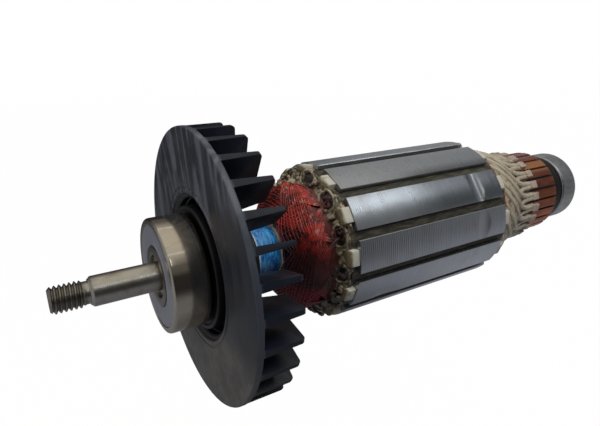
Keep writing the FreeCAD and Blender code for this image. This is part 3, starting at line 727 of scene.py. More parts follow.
def lathe(outline, segments=160, closed=True):
    """Turns an outline of (along, out) points about the shaft axis."""
    vertices = [around(x, r, 360 * step / segments) for step in range(segments)
                for x, r in outline]
    mesh = mesh_of(vertices, quads(segments, len(outline), True, closed))
    with opened(mesh) as work:
        bmesh.ops.dissolve_degenerate(work, edges=work.edges, dist=1e-8)
        bmesh.ops.recalc_face_normals(work, faces=work.faces)
    return mesh


def turned(stations, radius_at, segments=96, ends=True):
    """A round form whose radius changes along the shaft and round it."""
    turns = [360 * step / segments for step in range(segments)]
    vertices = [around(x, radius_at(x, degrees), degrees) for x in stations for degrees in turns]
    faces = quads(len(stations), segments)
    for row in (0, len(stations) - 1) if ends else ():
        middle = len(vertices)
        vertices.append((stations[row], 0, 0))
        faces += [(row * segments + i, row * segments + j, middle) for i, j in pairs(segments)]
    return mesh_of(vertices, faces)


def block(x, out, across, bevel, cuts=0):
    """A block with eased edges: (from, to) along the shaft, from the axis and across."""
    mesh = bpy.data.meshes.new("block")
    with opened(mesh) as work:
        bmesh.ops.create_cube(work, size=1.0)
        for vertex in work.verts:
            for axis, (low, high) in enumerate((x, out, across)):
                vertex.co[axis] = (low if vertex.co[axis] < 0 else high) * MM
        ease_edges(work, work.edges[:], bevel)
        if cuts:
            bmesh.ops.subdivide_edges(work, edges=work.edges[:], cuts=cuts, use_grid_fill=True)
        bmesh.ops.recalc_face_normals(work, faces=work.faces)
    return mesh


def rough(x, degrees, r, size, seed=0.0):
    """Noise from -1 to 1 at a place, with lumps of about size millimetres."""
    return noise.noise(Vector(around(x, r, degrees)) / size + Vector((seed, seed, seed)))


def roughened(mesh, size, depth, seed=0.0):
    """Moves the vertices of a mesh in and out by noise, depth in millimetres."""
    with opened(mesh) as work:
        work.normal_update()
        for vertex in work.verts:
            shift = noise.noise(vertex.co / MM / size + Vector((seed, 0, seed)))
            vertex.co += vertex.normal * shift * depth * MM
    return mesh


def lumps(places, seed):
    """Lumps of hardened varnish: (x, r, degrees, size) each."""
    chance = random.Random(seed)
    mesh = bpy.data.meshes.new("lumps")
    with opened(mesh) as work:
        for x, r, degrees, size in places:
            made = bmesh.ops.create_icosphere(work, subdivisions=2, radius=size * MM)["verts"]
            centre = Vector(around(x, r, degrees)) * MM
            stretch = Vector([chance.uniform(0.6, 1.3) for _ in range(3)])
            shift = chance.uniform(0, 50)
            for vertex in made:
                bump = noise.noise(vertex.co / MM / size * 1.3 + Vector((shift, 0, 0)))
                vertex.co = centre + vertex.co * stretch * (1 + 0.55 * bump)
        bmesh.ops.recalc_face_normals(work, faces=work.faces)
    return mesh


# ---- geometry trees for what repeats or follows a path

def new_tree(name, sizes):
    """A geometry tree with named inputs; gives its nodes and its inputs by name."""
    tree = bpy.data.node_groups.new(name, "GeometryNodeTree")
    tree.interface.new_socket("Geometry", in_out="INPUT", socket_type="NodeSocketGeometry")
    for label, kind in (*sizes, ("Material", "NodeSocketMaterial")):
        tree.interface.new_socket(label, in_out="INPUT", socket_type=kind)
    tree.interface.new_socket("Geometry", in_out="OUTPUT", socket_type="NodeSocketGeometry")
    nodes = Nodes(tree)
    return nodes, nodes.named("NodeGroupInput")


def end_tree(nodes, geometry, given):
    """Makes the copies real geometry in their material, and gives the tree."""
    whole = nodes.node("GeometryNodeRealizeInstances", inputs={"Geometry": geometry})[0]
    painted = nodes.node("GeometryNodeSetMaterial", inputs={
        "Geometry": whole, "Material": given["Material"]})[0]
    nodes.node("NodeGroupOutput", inputs={"Geometry": painted})
    return nodes.tree


def ring_tree():
    """Repeats one shape round the shaft axis."""
    nodes, given = new_tree("round the shaft", (
        ("Count", "NodeSocketInt"), ("Turn", "NodeSocketFloat")))
    points = nodes.node("GeometryNodeMeshLine", inputs={
        "Count": given["Count"], "Offset": (0, 0, 0)})[0]
    share = nodes.node("GeometryNodeInputIndex")[0] / given["Count"]
    turn = nodes.node("ShaderNodeCombineXYZ", inputs={
        "X": share * (2 * math.pi) + given["Turn"]})[0]
    copies = nodes.node("GeometryNodeInstanceOnPoints", inputs={
        "Points": points, "Instance": given["Geometry"], "Rotation": turn})[0]
    return end_tree(nodes, copies, given)


def row_tree():
    """Repeats one shape along the shaft."""
    nodes, given = new_tree("along the shaft", (
        ("Count", "NodeSocketInt"), ("Pitch", "NodeSocketFloat")))
    step = nodes.node("ShaderNodeCombineXYZ", inputs={"X": given["Pitch"]})[0]
    points = nodes.node("GeometryNodeMeshLine", inputs={
        "Count": given["Count"], "Offset": step})[0]
    copies = nodes.node("GeometryNodeInstanceOnPoints", inputs={
        "Points": points, "Instance": given["Geometry"]})[0]
    return end_tree(nodes, copies, given)


def strand_tree():
    """Gives every path a round section."""
    nodes, given = new_tree("round strands", (
        ("Radius", "NodeSocketFloat"), ("Sides", "NodeSocketInt")))
    paths = nodes.node("GeometryNodeMeshToCurve", inputs={"Mesh": given["Geometry"]})[0]
    section = nodes.node("GeometryNodeCurvePrimitiveCircle", inputs={
        "Resolution": given["Sides"], "Radius": given["Radius"]})[0]
    strand = nodes.node("GeometryNodeCurveToMesh", inputs={
        "Curve": paths, "Profile Curve": section, "Fill Caps": True})[0]
    return end_tree(nodes, strand, given)


def grown(mesh, tree, finish, **values):
    """The mesh that a geometry tree makes from another."""
    values["Material"] = finish_of(finish)
    carrier = bpy.data.objects.new("carrier", mesh)
    bpy.context.scene.collection.objects.link(carrier)
    rule = carrier.modifiers.new("rule", "NODES")
    rule.node_group = tree
    for item in tree.interface.items_tree:
        if item.in_out == "INPUT" and item.name in values:
            rule[item.identifier] = values[item.name]
    graph = bpy.context.evaluated_depsgraph_get()
    result = bpy.data.meshes.new_from_object(carrier.evaluated_get(graph), depsgraph=graph)
    carrier.modifiers.clear()
    bpy.data.objects.remove(carrier)
    return result


def ring_of(mesh, count, degrees, finish):
    """Copies of a shape round the shaft, the first one turned by some degrees."""
    return grown(mesh, ring_tree(), finish, Count=count, Turn=math.radians(degrees))


def strands(paths, radius, sides, finish):
    """Round strands along paths of points in millimetres."""
    mesh = bpy.data.meshes.new("paths")
    vertices, edges = [], []
    for path in paths:
        first = len(vertices)
        vertices += [tuple(c * MM for c in point) for point in path]
        edges += [(first + i, first + j) for i, j in pairs(len(path), closed=False)]
    mesh.from_pydata(vertices, edges, [])
    return grown(mesh, strand_tree(), finish, Radius=radius * MM, Sides=sides)


# ---- round forms on which the windings lie

class Meridian:
    """A line on a round form from the core towards the shaft, measured by its length."""

    def __init__(self, corners, easing):
        self.points = [Vector(p) for p in
                       eased([(*corner, easing) for corner in corners], False, 6)]
        self.marks = [0.0]
        for a, b in zip(self.points, self.points[1:]):
            self.marks.append(self.marks[-1] + (b - a).length)
        self.length = self.marks[-1]
        self.way = 1 if self.points[-1].x > self.points[0].x else -1

    def at(self, distance, lift):
        """(x, r) at a distance along the line, lifted off the form."""
        distance = min(max(distance, 0.0), self.length - 1e-6)
        i = max(k for k, mark in enumerate(self.marks[:-1]) if mark <= distance)
        a, b = self.points[i], self.points[i + 1]
        share = (distance - self.marks[i]) / (self.marks[i + 1] - self.marks[i])
        before = self.points[max(i - 1, 0)]
        after = self.points[min(i + 2, len(self.points) - 1)]
        run = ((b - before) * (1 - share) + (after - a) * share).normalized()
        place = a + (b - a) * share
        way = self.way * lift
        return place.x - run.y * way, place.y + run.x * way


# ---- stage

def tent_finish():
    """The inside of the light tent: bright above, dark at eye level, grey below."""
    looks = Finish("light tent", shade(160, 160, 160), 0.9)
    place = looks.named("ShaderNodeTexCoord")["Object"]
    direction = looks.node("ShaderNodeVectorMath", {"operation": "NORMALIZE"}, {0: place})[0]
    along, side, height = looks.node("ShaderNodeSeparateXYZ", inputs={0: direction})
    level = height * 0.5 + 0.5
    near = looks.stops(level, (
        (0.0, (0.07, 0.07, 0.075)), (0.12, (0.175, 0.175, 0.186)), (0.27, (0.16, 0.16, 0.168)),
        (0.36, (0.05, 0.05, 0.052)), (0.42, (0.026, 0.025, 0.025)),
        (0.64, (0.03, 0.028, 0.027)), (0.71, (0.11, 0.105, 0.095)),
        (0.79, (0.12, 0.115, 0.105)), (0.87, (0.31, 0.295, 0.265)),
        (0.93, (0.54, 0.51, 0.45)), (1.0, (0.62, 0.58, 0.5))))
    behind = looks.stops(level, (
        (0.0, (0.14, 0.14, 0.15)), (0.15, (0.32, 0.32, 0.34)), (0.35, (0.25, 0.25, 0.26)),
        (0.44, (0.18, 0.18, 0.185)), (0.56, (0.17, 0.17, 0.17)), (0.66, (0.17, 0.17, 0.17)),
        (0.78, (0.2, 0.204, 0.208)), (0.9, (0.31, 0.305, 0.29)), (0.95, (0.52, 0.49, 0.43)),
        (1.0, (0.62, 0.58, 0.5))))
    colour = looks.blend(along.rise(0.3, 0.85), near, behind)
    far = along.rise(0.3, 0.65) * side.rise(0.2, 0.5) * (1 - height.rise(0.5, 0.65))
    far = far * height.rise(-0.3, 0.0) * (0.6 + height.rise(0.15, 0.4) * 0.4)
    colour = looks.blend(far, colour, (0.36, 0.365, 0.36))
    facing = (0 - along).rise(0.35, 0.8) * height.rise(-0.75, -0.2)
    colour = looks.blend(facing * 0.8, colour, (0.33, 0.335, 0.35))
    glow = looks.node("ShaderNodeEmission", inputs={"Color": colour, "Strength": 1.0})[0]
    lean = abs(height.angle_over(side) - math.pi / 2)
    off = abs(lean - math.radians(31))
    slit = (1 - off.rise(math.radians(0.5), math.radians(1.2))) * (1 - along.rise(0.35, 0.5))
    open_air = looks.node("ShaderNodeBsdfTransparent")[0]
    looks.end_with(looks.node("ShaderNodeMixShader", inputs={0: slit, 1: glow, 2: open_air})[0])
    return looks.material


def make_tent(settings):
    """A tent of cloth round the armature, which the camera looks through.

    It is flat below, and its brim at the height of the shaft stays one metre out."""
    reach, depth = settings.tent_radius, -settings.bench_height * 0.94
    mesh = bpy.data.meshes.new("tent")
    with opened(mesh) as work:
        bmesh.ops.create_uvsphere(work, u_segments=48, v_segments=24, radius=1.0)
        for vertex in work.verts:
            x, y, z = vertex.co
            if z > 0:
                vertex.co *= reach
            elif z < 0:
                vertex.co = (x * reach, y * reach, z * depth)
    mesh.materials.append(tent_finish())
    tent = bpy.data.objects.new("tent", mesh)
    tent.location = (0.047, 0, 0)
    bpy.context.scene.collection.objects.link(tent)
    tent.visible_camera = False
    tent.visible_shadow = False


def seen_directly(nodes):
    """1 for what the camera, metal and glass see, 0 for the light on other surfaces."""
    rays = nodes.named("ShaderNodeLightPath")
    seen = rays["Is Camera Ray"] + rays["Is Glossy Ray"] + rays["Is Transmission Ray"]
    return seen.at_most(1.0)


def room_light():
    """White backdrop behind everything, and a plain soft light for what looks elsewhere."""
    world = bpy.data.worlds.new("room")
    bpy.context.scene.world = world
    world.use_nodes = True
    world.node_tree.nodes.clear()
    nodes = Nodes(world.node_tree)
    room, backdrop = [nodes.node("ShaderNodeBackground", inputs={
        "Color": (level, level, level, 1), "Strength": 1.0})[0] for level in (0.5, 1.0)]
    mixed = nodes.node("ShaderNodeMixShader", inputs={
        0: seen_directly(nodes), 1: room, 2: backdrop})[0]
    nodes.node("ShaderNodeOutputWorld", inputs={"Surface": mixed})


def aimed(name, data, place, right, back):
    """Puts a lamp or camera at a place, with its own right and back turned these ways."""
    made = bpy.data.objects.new(name, data)
    bpy.context.scene.collection.objects.link(made)
    made.matrix_world = Matrix((right, back.cross(right), back)).transposed().to_4x4()
    made.matrix_world.translation = place
    return made


def lamp(name, place, target, size, power, colour):
    """A rectangular lamp, its first side along the shaft, in metres and watts."""
    light = bpy.data.lights.new(name, "AREA")
    light.shape = "RECTANGLE"
    light.size, light.size_y = size
    light.energy = power
    light.color = colour
    place = Vector(place)
    back = (place - Vector(target)).normalized()
    right = Vector((1, 0, 0))
    right = (right - back * right.dot(back)).normalized()
    return aimed(name, light, place, right, back)


def make_camera(settings):
    """The camera at the photograph's place, fitted to the round edges of the armature."""
    lens = bpy.data.cameras.new("camera")
    lens.sensor_width = 36.0
    lens.lens = settings.focal_length
    lens.clip_start, lens.clip_end = 0.005, 10.0
    back = Vector((-0.488, -0.807, 0.334)).normalized()
    right = Vector((0.856, -0.518, 0.0)).normalized()
    bpy.context.scene.camera = aimed("camera", lens, Vector((-23.8, -85.6, 42.2)) * MM,
                                     right, back)


def make_bench(height):
    """A pale bench below the armature, white where the camera or metal sees it."""
    looks = Finish("bench", shade(236, 236, 236), 0.8)
    white = looks.node("ShaderNodeEmission", inputs={
        "Color": (1, 1, 1, 1), "Strength": 1.0})[0]
    body = Tone(looks, looks.shader.outputs[0])
    looks.end_with(looks.node("ShaderNodeMixShader", inputs={
        0: seen_directly(looks) * 0.993, 1: body, 2: white})[0])
    reach = 1.6
    mesh = bpy.data.meshes.new("bench")
    corners = ((-reach, -reach), (reach, -reach), (reach, reach), (-reach, reach))
    mesh.from_pydata([(x, y, height) for x, y in corners], [], [(0, 1, 2, 3)])
    mesh.materials.append(looks.material)
    bench = bpy.data.objects.new("bench", mesh)
    bpy.context.scene.collection.objects.link(bench)


class StageSettings(bpy.types.PropertyGroup):
    focal_length: bpy.props.FloatProperty(
        name="Focal length", description="Camera lens on a 36 mm sensor", default=29.85, min=10)
    bench_height: length_size(-80, "Bench height", "Height of the bench, from the shaft axis")
    tent_radius: length_size(600, "Tent radius", "Reach of the light tent round the armature")


class ARMATURE_OT_stage(bpy.types.Operator):
    """Sets up the bench, the light tent, the lamps and the camera"""
    bl_idname = "armature.stage"
    bl_label = "Stage"

    def execute(self, context):
        settings = context.scene.armature_stage
        context.scene.view_settings.view_transform = "Standard"
        make_camera(settings)
        make_bench(settings.bench_height)
        room_light()
        make_tent(settings)
        lamp("gleam", (0.275, -0.18, 0.29), (0.04, 0, 0), (0.04, 0.13), 0.082, (0.93, 0.97, 1.0))
        lamp("window", (0.004, -0.256, 0.256), (0.06, 0, 0), (0.05, 0.08), 0.024,
             (0.9, 0.95, 1.0))
        soft = lamp("soft light", (0.0, -0.2, 0.46), (0.04, 0, 0), (0.4, 0.3), 1.2,
                    (1.0, 0.98, 0.95))
        soft.visible_glossy = False
        return {"FINISHED"}


class ARMATURE_OT_finishes(bpy.types.Operator):
    """Gives every piece that keeps its plain shape its finish"""
    bl_idname = "armature.finishes"
    bl_label = "Finishes"

    def execute(self, context):
        for entry in frame["record"]["subparts"]:
            node = frame["nodes"][entry["node"]]
            node.data.materials.clear()
            node.data.materials.append(finish_of(entry["material_slot"]))
        return {"FINISHED"}


# ---- shaft and bearings

class ShaftSettings(bpy.types.PropertyGroup):
    thread_pitch: length_size(0.8, "Thread pitch", "Distance from one turn to the next")
    thread_depth: length_size(0.47, "Thread depth", "Depth of the thread at the drive end")


class ARMATURE_OT_shaft(bpy.types.Operator):
    """Makes the turned shaft with its thread"""
    bl_idname = "armature.shaft"
    bl_label = "Shaft"

    def execute(self, context):
        settings = context.scene.armature_shaft
        pitch, depth = settings.thread_pitch / MM, settings.thread_depth / MM
        tip, run_out, neck_from, shoulder = -21.8, -16.7, -16.0, -15.24
        crest, neck, tip_radius = 2.45, 2.05, 1.95

        def radius(x, degrees):
            if x > neck_from + 0.01:
                return neck
            phase = (x / pitch + degrees / 360) % 1.0
            flank = min(max(abs(phase - 0.5) * 2.9 - 0.3, 0.0), 1.0)
            fade = min(1.0, max(0.0, (neck_from - x) / 0.7)) if x > run_out else 1.0
            thread = (crest - depth * flank) * fade + neck * (1 - fade)
            return min(thread, tip_radius + (x - tip) * 0.9)

        front = turned(steps(tip, neck_from, 116) + [-15.6, shoulder], radius, 64)
        rest = lathe(eased([
            (-15.3, 0), (-15.3, 2.35, 0.05), (-15.2, 2.35, 0.05), (-14.8, 2.75, 0.15),
            (-2.9, 2.75, 0.1), (-2.9, 4.0, 0.15), (108.81, 4.0, 0.1), (108.81, 3.5, 0.05),
            (114.91, 3.5, 0.2), (115.31, 3.1, 0.15), (115.31, 0)], closed=False),
            96, closed=False)
        piece("turned_shaft", joined([front, rest]), "turned_steel", "rotor", ["shaft"])
        return {"FINISHED"}


BALL_RADIUS, GROOVE_RADIUS = 1.9845, 2.0145

# side, front face, width, bore radius, outside radius, diameter of the circle of balls,
# body and finish of the outer ring
BEARINGS = (
    ("drive", -3.5, 7.0, 4.0, 11.0, 15.0, "drive_ring", "bearing_steel"),
    ("rear", 108.81, 6.0, 3.5, 9.5, 13.0, "rear_ring_body", "satin_steel"),
)


def raceway(middle, circle, shoulder):
    """Points of the groove in which the balls run, from front to back."""
    rise = (shoulder - circle / 2) / GROOVE_RADIUS
    reach = math.acos(min(1.0, abs(rise)))
    way = 1 if rise > 0 else -1
    return [(middle - GROOVE_RADIUS * math.sin(a), circle / 2 + way * GROOVE_RADIUS * math.cos(a))
            for a in steps(reach, -reach, 8)]


def bearing_ring(front, width, free, seat, shoulder, circle, easing):
    """Outline of a bearing ring: its free surface, its end faces and the side of the balls."""
    step = 0.5 if seat > shoulder else 0.58
    back = front + width
    return eased([(front, free, easing), (front, seat, 0.06), (front + step, seat),
                  (front + step, shoulder),
                  *raceway(front + width / 2, circle, shoulder),
                  (back - step, shoulder), (back - step, seat), (back, seat, 0.06),
                  (back, free, easing)])


def seal_shape(face, outward, inside, outside):
    """A pressed seal with a bead near its rim and a lip at its bore."""
    back = face + 0.4 * outward
    points = [(face + 0.12 * outward, inside), (face + 0.02 * outward, inside + 0.25),
              (face + 0.02 * outward, inside + 0.5), (face + 0.14 * outward, inside + 0.68),
              (face + 0.14 * outward, outside - 0.75), (face, outside - 0.5),
              (face, outside - 0.2), (face + 0.1 * outward, outside), (back, outside),
              (back, inside)]
    return lathe(eased([(*p, 0.06) for p in points], steps_each=2), 120)


class ARMATURE_OT_bearings(bpy.types.Operator):
    """Makes the rings and seals of both bearings"""
    bl_idname = "armature.bearings"
    bl_label = "Bearings"

    def execute(self, context):
        for side, front, width, bore, outside, circle, outer_body, steel in BEARINGS:
            back = front + width
            high = circle / 2 + BALL_RADIUS - 0.55
            low = circle / 2 - BALL_RADIUS + 0.55
            seat = outside - 1.17
            outer = lathe(bearing_ring(front, width, outside, seat, high, circle, 0.62), 192)
            piece(side + "_race_outside", outer, "bearing_steel", outer_body,
                  [side + "_outer_ring"], finish=steel)
            inner = lathe(bearing_ring(front, width, bore, low - 0.32, low, circle, 0.45), 128)
            piece(side + "_race_inside", inner, "bearing_steel", "rotor",
                  [side + "_inner_ring"])
            for word, face, outward in (("front", front + 0.1, 1), ("rear", back - 0.1, -1)):
                seal = seal_shape(face, outward, low - 0.24, seat)
                piece("%s_%s_cover" % (side, word), seal, "seal_rubber", outer_body,
                      ["%s_%s_seal" % (side, word)])
        return {"FINISHED"}


class ARMATURE_OT_rings(bpy.types.Operator):
    """Makes the dust ring behind the drive bearing and the ring behind the commutator"""
    bl_idname = "armature.rings"
    bl_label = "Rings"

    def execute(self, context):
        dust = lathe(eased([
            (3.5, 4.0), (5.85, 4.0), (5.85, 12.2, 0.3), (3.85, 12.2, 0.3), (3.85, 11.5, 0.1),
            (4.15, 11.2, 0.1), (4.15, 8.2, 0.1), (3.85, 7.9, 0.1), (3.85, 5.3, 0.2),
            (3.5, 5.3, 0.1)]), 128)
        piece("dust_shield", dust, "black_rubber", "rotor", ["dust_ring"])
        rear = lathe(eased([
            (105.11, 4.0), (108.81, 4.0), (108.81, 4.7, 0.1), (108.46, 4.7, 0.1),
            (108.46, 9.2, 0.45), (105.11, 9.2, 0.45)]), 128)
        piece("rear_spacer", rear, "black_rubber", "rotor", ["rear_ring"])
        return {"FINISHED"}


# ---- fan

class FanSettings(bpy.types.PropertyGroup):
    blade_count: bpy.props.IntProperty(name="Blades", description="Blades behind the disc",
                                       default=30, min=8, max=60)
    rim_radius: length_size(27.2, "Rim radius", "Outside radius of the fan")


def fan_blade(rim):
    """One radial blade that thins towards its tip, with its outer rear corner rounded."""
    foot, root, tip = 5.1, 5.36, 12.96
    outer, curve = rim - 0.09, 0.7
    outline = [(foot, 18.87), (root, 18.9), (tip, 20.8), (tip, outer - curve)]
    outline += [(tip - curve + curve * math.cos(a), outer - curve + curve * math.sin(a))
                for a in steps(math.pi / 10, math.pi / 2, 4)]
    outline += [(root, outer), (foot, outer)]
    sides = [[(x, r, side * (0.75 - 0.35 * max(0.0, x - root) / (tip - root)))
              for x, r in outline] for side in (-1, 1)]
    mesh = loft(sides)
    with opened(mesh) as work:
        free = [edge for edge in work.edges if len(edge.link_faces) == 2
                and edge.calc_face_angle() > math.radians(50)
                and min(v.co.x for v in edge.verts) > (root - 0.1) * MM]
        ease_edges(work, free, 0.17)
        bmesh.ops.recalc_face_normals(work, faces=work.faces)
    return mesh


class ARMATURE_OT_fan(bpy.types.Operator):
    """Makes the bladed fan with the recess for the bearing"""
    bl_idname = "armature.fan"
    bl_label = "Fan"

    def execute(self, context):
        settings = context.scene.armature_fan
        rim = settings.rim_radius / MM
        disc = lathe(eased([
            (8.56, 4.0), (8.56, 13.6, 0.3), (7.1, 13.6, 0.1), (6.9, 13.3, 0.1),
            (6.4, 13.3, 0.1), (6.2, 13.6, 0.1), (5.16, 13.6, 0.1), (4.85, 14.0, 0.08),
            (4.7, 14.35, 0.08), (4.16, 14.7, 0.2), (4.16, 15.4, 0.06), (4.32, 15.5, 0.06),
            (4.32, 15.8, 0.06), (4.16, 15.9, 0.06), (4.16, rim, 0.38), (5.36, rim, 0.2),
            (5.36, 15.1, 0.4), (10.06, 15.1, 0.5), (10.06, 7.0, 0.5), (14.86, 7.0, 0.3),
            (14.86, 4.0)]), 240)
        blades = ring_of(fan_blade(rim), settings.blade_count, 9.4, "fan_plastic")
        piece("fan_wheel", joined([disc, blades]), "fan_plastic", "rotor", ["fan"])
        return {"FINISHED"}


class ARMATURE_OT_tape(bpy.types.Operator):
    """Makes the tape wrapped between the fan and the winding"""
    bl_idname = "armature.tape"
    bl_label = "Tape"

    def execute(self, context):
        front, back = 14.88, 20.34
        first_lap, lap_width = 14.86, 2.4

        def radius(x, degrees):
            turn = ((x - first_lap) / lap_width + degrees / 360) % 1.0
            lap = 0.13 * min(1.0, turn * 14) * (1 - 0.35 * turn)
            return 5.02 + lap + 0.05 * rough(x, degrees, 5, 1.4)

        laps = turned(steps(front, back, 50), radius, ends=False)
        bore = lathe([(front, 4.91), (back, 4.91), (back, 5.05), (front, 5.05)], 96)
        piece("tape", joined([laps, bore]), "blue_tape", "rotor", ["tape_wrap"])
        return {"FINISHED"}


# ---- core

CORE_FRONT, CORE_REAR, CORE_RADIUS, BORE_RADIUS = 31.51, 74.11, 17.1, 4.9
SLOTS, SLOT_PHASE, SLOT_PITCH = 12, 8.3, 30.0
SLOT_FLOOR, SLOT_ROOF, HALF_TOOTH, HALF_OPENING = 8.8, 15.4, 1.65, 0.99

# degrees round the shaft, middle along it, radius of the cutter, depth of the cut
CUTS = ((143.3, 66.71, 3.0, 0.75), (173.3, 66.91, 8.4, 0.3), (215.3, 40.21, 45.0, 0.2))


class CoreSettings(bpy.types.PropertyGroup):
    sheet_count: bpy.props.IntProperty(name="Sheets", description="Steel sheets in the core",
                                       default=85, min=20, max=120)
    seam_depth: length_size(0.016, "Seam depth", "Depth of the seam between two sheets")


def half_slot(r, inset=0.0):
    """Half of a slot's width at a distance from the axis, less an inset from its walls."""
    half_pitch = math.radians(SLOT_PITCH / 2)
    return math.tan(half_pitch) * r - (HALF_TOOTH + inset) / math.cos(half_pitch)


def in_slot(k, across, out):
    """(y, z) of a place in slot k, across the slot and out from the axis."""
    middle = math.radians(SLOT_PHASE + SLOT_PITCH * k)
    return (out * math.cos(middle) - across * math.sin(middle),
            out * math.sin(middle) + across * math.cos(middle))


def sheet_outline():
    """Outline of one sheet with its slots, as (y, z) points."""
    lip, mouth = 16.2, CORE_RADIUS - 0.14
    half = [(-HALF_OPENING, mouth), (-HALF_OPENING, lip), (-half_slot(SLOT_ROOF), SLOT_ROOF),
            (-half_slot(SLOT_FLOOR), SLOT_FLOOR)]
    slot = half + [(-across, out) for across, out in reversed(half)]
    edge = math.asin((HALF_OPENING + 0.12) / CORE_RADIUS)
    points = []
    for k in range(SLOTS):
        points += [in_slot(k, across, out) for across, out in slot]
        middle = math.radians(SLOT_PHASE + SLOT_PITCH * k)
        points += [(CORE_RADIUS * math.cos(a), CORE_RADIUS * math.sin(a)) for a in
                   steps(middle + edge, middle + math.radians(SLOT_PITCH) - edge, 8)]
    return points


def sheet_edge(outline, pitch, seam):
    """The edge of the first sheet, with half a seam at each side of it."""
    vertices = []
    for share, drop in ((0, seam), (0.12, 0), (0.88, 0), (1, seam)):
        for y, z in outline:
            out = math.hypot(y, z)
            scale = (out - drop) / out if out > CORE_RADIUS - 0.2 else 1
            vertices.append((CORE_FRONT + share * pitch, y * scale, z * scale))
    return mesh_of(vertices, quads(4, len(outline)), outward=False)


def core_ends(outline, seam):
    """The two flat faces of the core, each with the hole for the shaft."""
    shrink = 1 - seam / CORE_RADIUS
    bore = [around(0, BORE_RADIUS, degrees)[1:] for degrees in steps(0, 352.5, 47)]
    ends = []
    for x in (CORE_FRONT, CORE_REAR):
        rim = [(x, y * shrink, z * shrink) for y, z in outline]
        hole = [(x, y, z) for y, z in bore]
        flat = tessellate_polygon([[Vector(p) for p in rim], [Vector(p) for p in hole]])
        ends.append(mesh_of(rim + hole, [tuple(t) for t in flat], outward=False))
    return ends


def mill(vertex):
    """Moves a vertex of the core down to the balancing cuts."""
    for degrees, place, cutter, depth in CUTS:
        off = vertex.co.x / MM - place
        if abs(off) >= cutter:
            continue
        angle = math.radians(degrees)
        up = Vector((0, math.cos(angle), math.sin(angle)))
        height = vertex.co.dot(up) / MM
        level = CORE_RADIUS + cutter - depth - math.sqrt(cutter * cutter - off * off)
        across = (vertex.co - up * vertex.co.dot(up)).yz.length / MM
        if height > level and across < 6:
            vertex.co -= up * (height - level) * MM


class ARMATURE_OT_core(bpy.types.Operator):
    """Makes the stack of slotted sheets with its balancing cuts"""
    bl_idname = "armature.core"
    bl_label = "Core"

    def execute(self, context):
        settings = context.scene.armature_core
        count, seam = settings.sheet_count, settings.seam_depth / MM
        pitch = (CORE_REAR - CORE_FRONT) / count
        outline = sheet_outline()
        stack = grown(sheet_edge(outline, pitch, seam), row_tree(), "lamination_steel",
                      Count=count, Pitch=pitch * MM)
        tube = lathe([(CORE_FRONT, BORE_RADIUS), (CORE_REAR, BORE_RADIUS)], 48, closed=False)
        chance = random.Random(4)
        shifts = [chance.uniform(-0.004, 0.004) for _ in range(count + 1)]
        with opened(stack) as work:
            bmesh.ops.remove_doubles(work, verts=work.verts, dist=0.001 * MM)
            for vertex in work.verts:
                sheet = min(count, int((vertex.co.x / MM - CORE_FRONT) / pitch))
                out = vertex.co.yz.length / MM
                if out > CORE_RADIUS - 0.01:
                    vertex.co.yz *= 1 + shifts[sheet] / out
                mill(vertex)
            for mesh in (*core_ends(outline, seam), tube):
                work.from_mesh(mesh)
            bmesh.ops.remove_doubles(work, verts=work.verts, dist=0.002 * MM)
            bmesh.ops.recalc_face_normals(work, faces=work.faces)
        piece("sheet_stack", stack, "lamination_steel", "rotor", ["lamination_core"], angle=40)
        return {"FINISHED"}


# ---- insulation in and round the core

FINGER_REACH, NECK_RADIUS = 2.5, 5.7


def finger_block(face, way):
    """A finger on a tooth, sloped off at its free corner; way points along the shaft."""
    free = face + way * FINGER_REACH
    outline = [(face, 8.0), (face, 16.8), (free - way * 0.8, 16.8), (free, 15.9), (free, 8.0)]
    mesh = loft([[(x, r, side * HALF_TOOTH) for x, r in outline] for side in (-1, 1)])
    with opened(mesh) as work:
        ease_edges(work, work.edges[:], 0.3)
        bmesh.ops.subdivide_edges(work, edges=work.edges[:], cuts=2, use_grid_fill=True)
        bmesh.ops.triangulate(work, faces=[f for f in work.faces if len(f.verts) > 4])
        bmesh.ops.recalc_face_normals(work, faces=work.faces)
    return mesh


class ARMATURE_OT_insulators(bpy.types.Operator):
    """Makes the insulator at each end of the core, with a finger on every tooth"""
    bl_idname = "armature.insulators"
    bl_label = "Insulators"

    def execute(self, context):
        for name, node, face, way, neck in (
                ("front_spider", "front_insulator", CORE_FRONT, -1, (20.45, CORE_FRONT)),
                ("rear_spider", "rear_insulator", CORE_REAR, 1, (CORE_REAR, 87.61))):
            near, far = sorted((face, face + way * FINGER_REACH))
            fingers = ring_of(finger_block(face, way), SLOTS, SLOT_PHASE + SLOT_PITCH / 2,
                              "cream_plastic")
            fingers = roughened(fingers, 1.7, 0.11, seed=near)
            hub = lathe(eased([(near, BORE_RADIUS), (far, BORE_RADIUS), (far, SLOT_FLOOR, 0.1),
                               (near, SLOT_FLOOR, 0.3)]), 96)
            collar = lathe(eased([(neck[0], BORE_RADIUS), (neck[1], BORE_RADIUS),
                                  (neck[1], NECK_RADIUS, 0.1), (neck[0], NECK_RADIUS, 0.2)]), 96)
            piece(name, joined([fingers, hub, collar]), "cream_plastic", "rotor", [node])
        return {"FINISHED"}


def slot_places(section, stations, wobble, seed):
    """A strip through every slot: its section as (across, out), shaken a little at its ends."""
    front, rear, free_length = 31.5, 74.1, 2.9
    meshes = []
    for k in range(SLOTS):
        rows = []
        for x in stations:
            free = max(0.0, front - x, x - rear) / free_length
            row = []
            for i, (across, out) in enumerate(section):
                a = across * (1 + 0.04 * free) + wobble * free * noise.noise(
                    Vector((x, i * 0.7, k * 3.1 + seed)))
                r = out + wobble * free * noise.noise(Vector((i * 0.9, x, k * 5.3 + seed)))
                shift = wobble * free * noise.noise(Vector((i * 1.3, k * 7.7, seed)))
                row.append((x + shift, *in_slot(k, a, r)))
            rows.append(row)
        meshes.append(loft(rows))
    return joined(meshes)


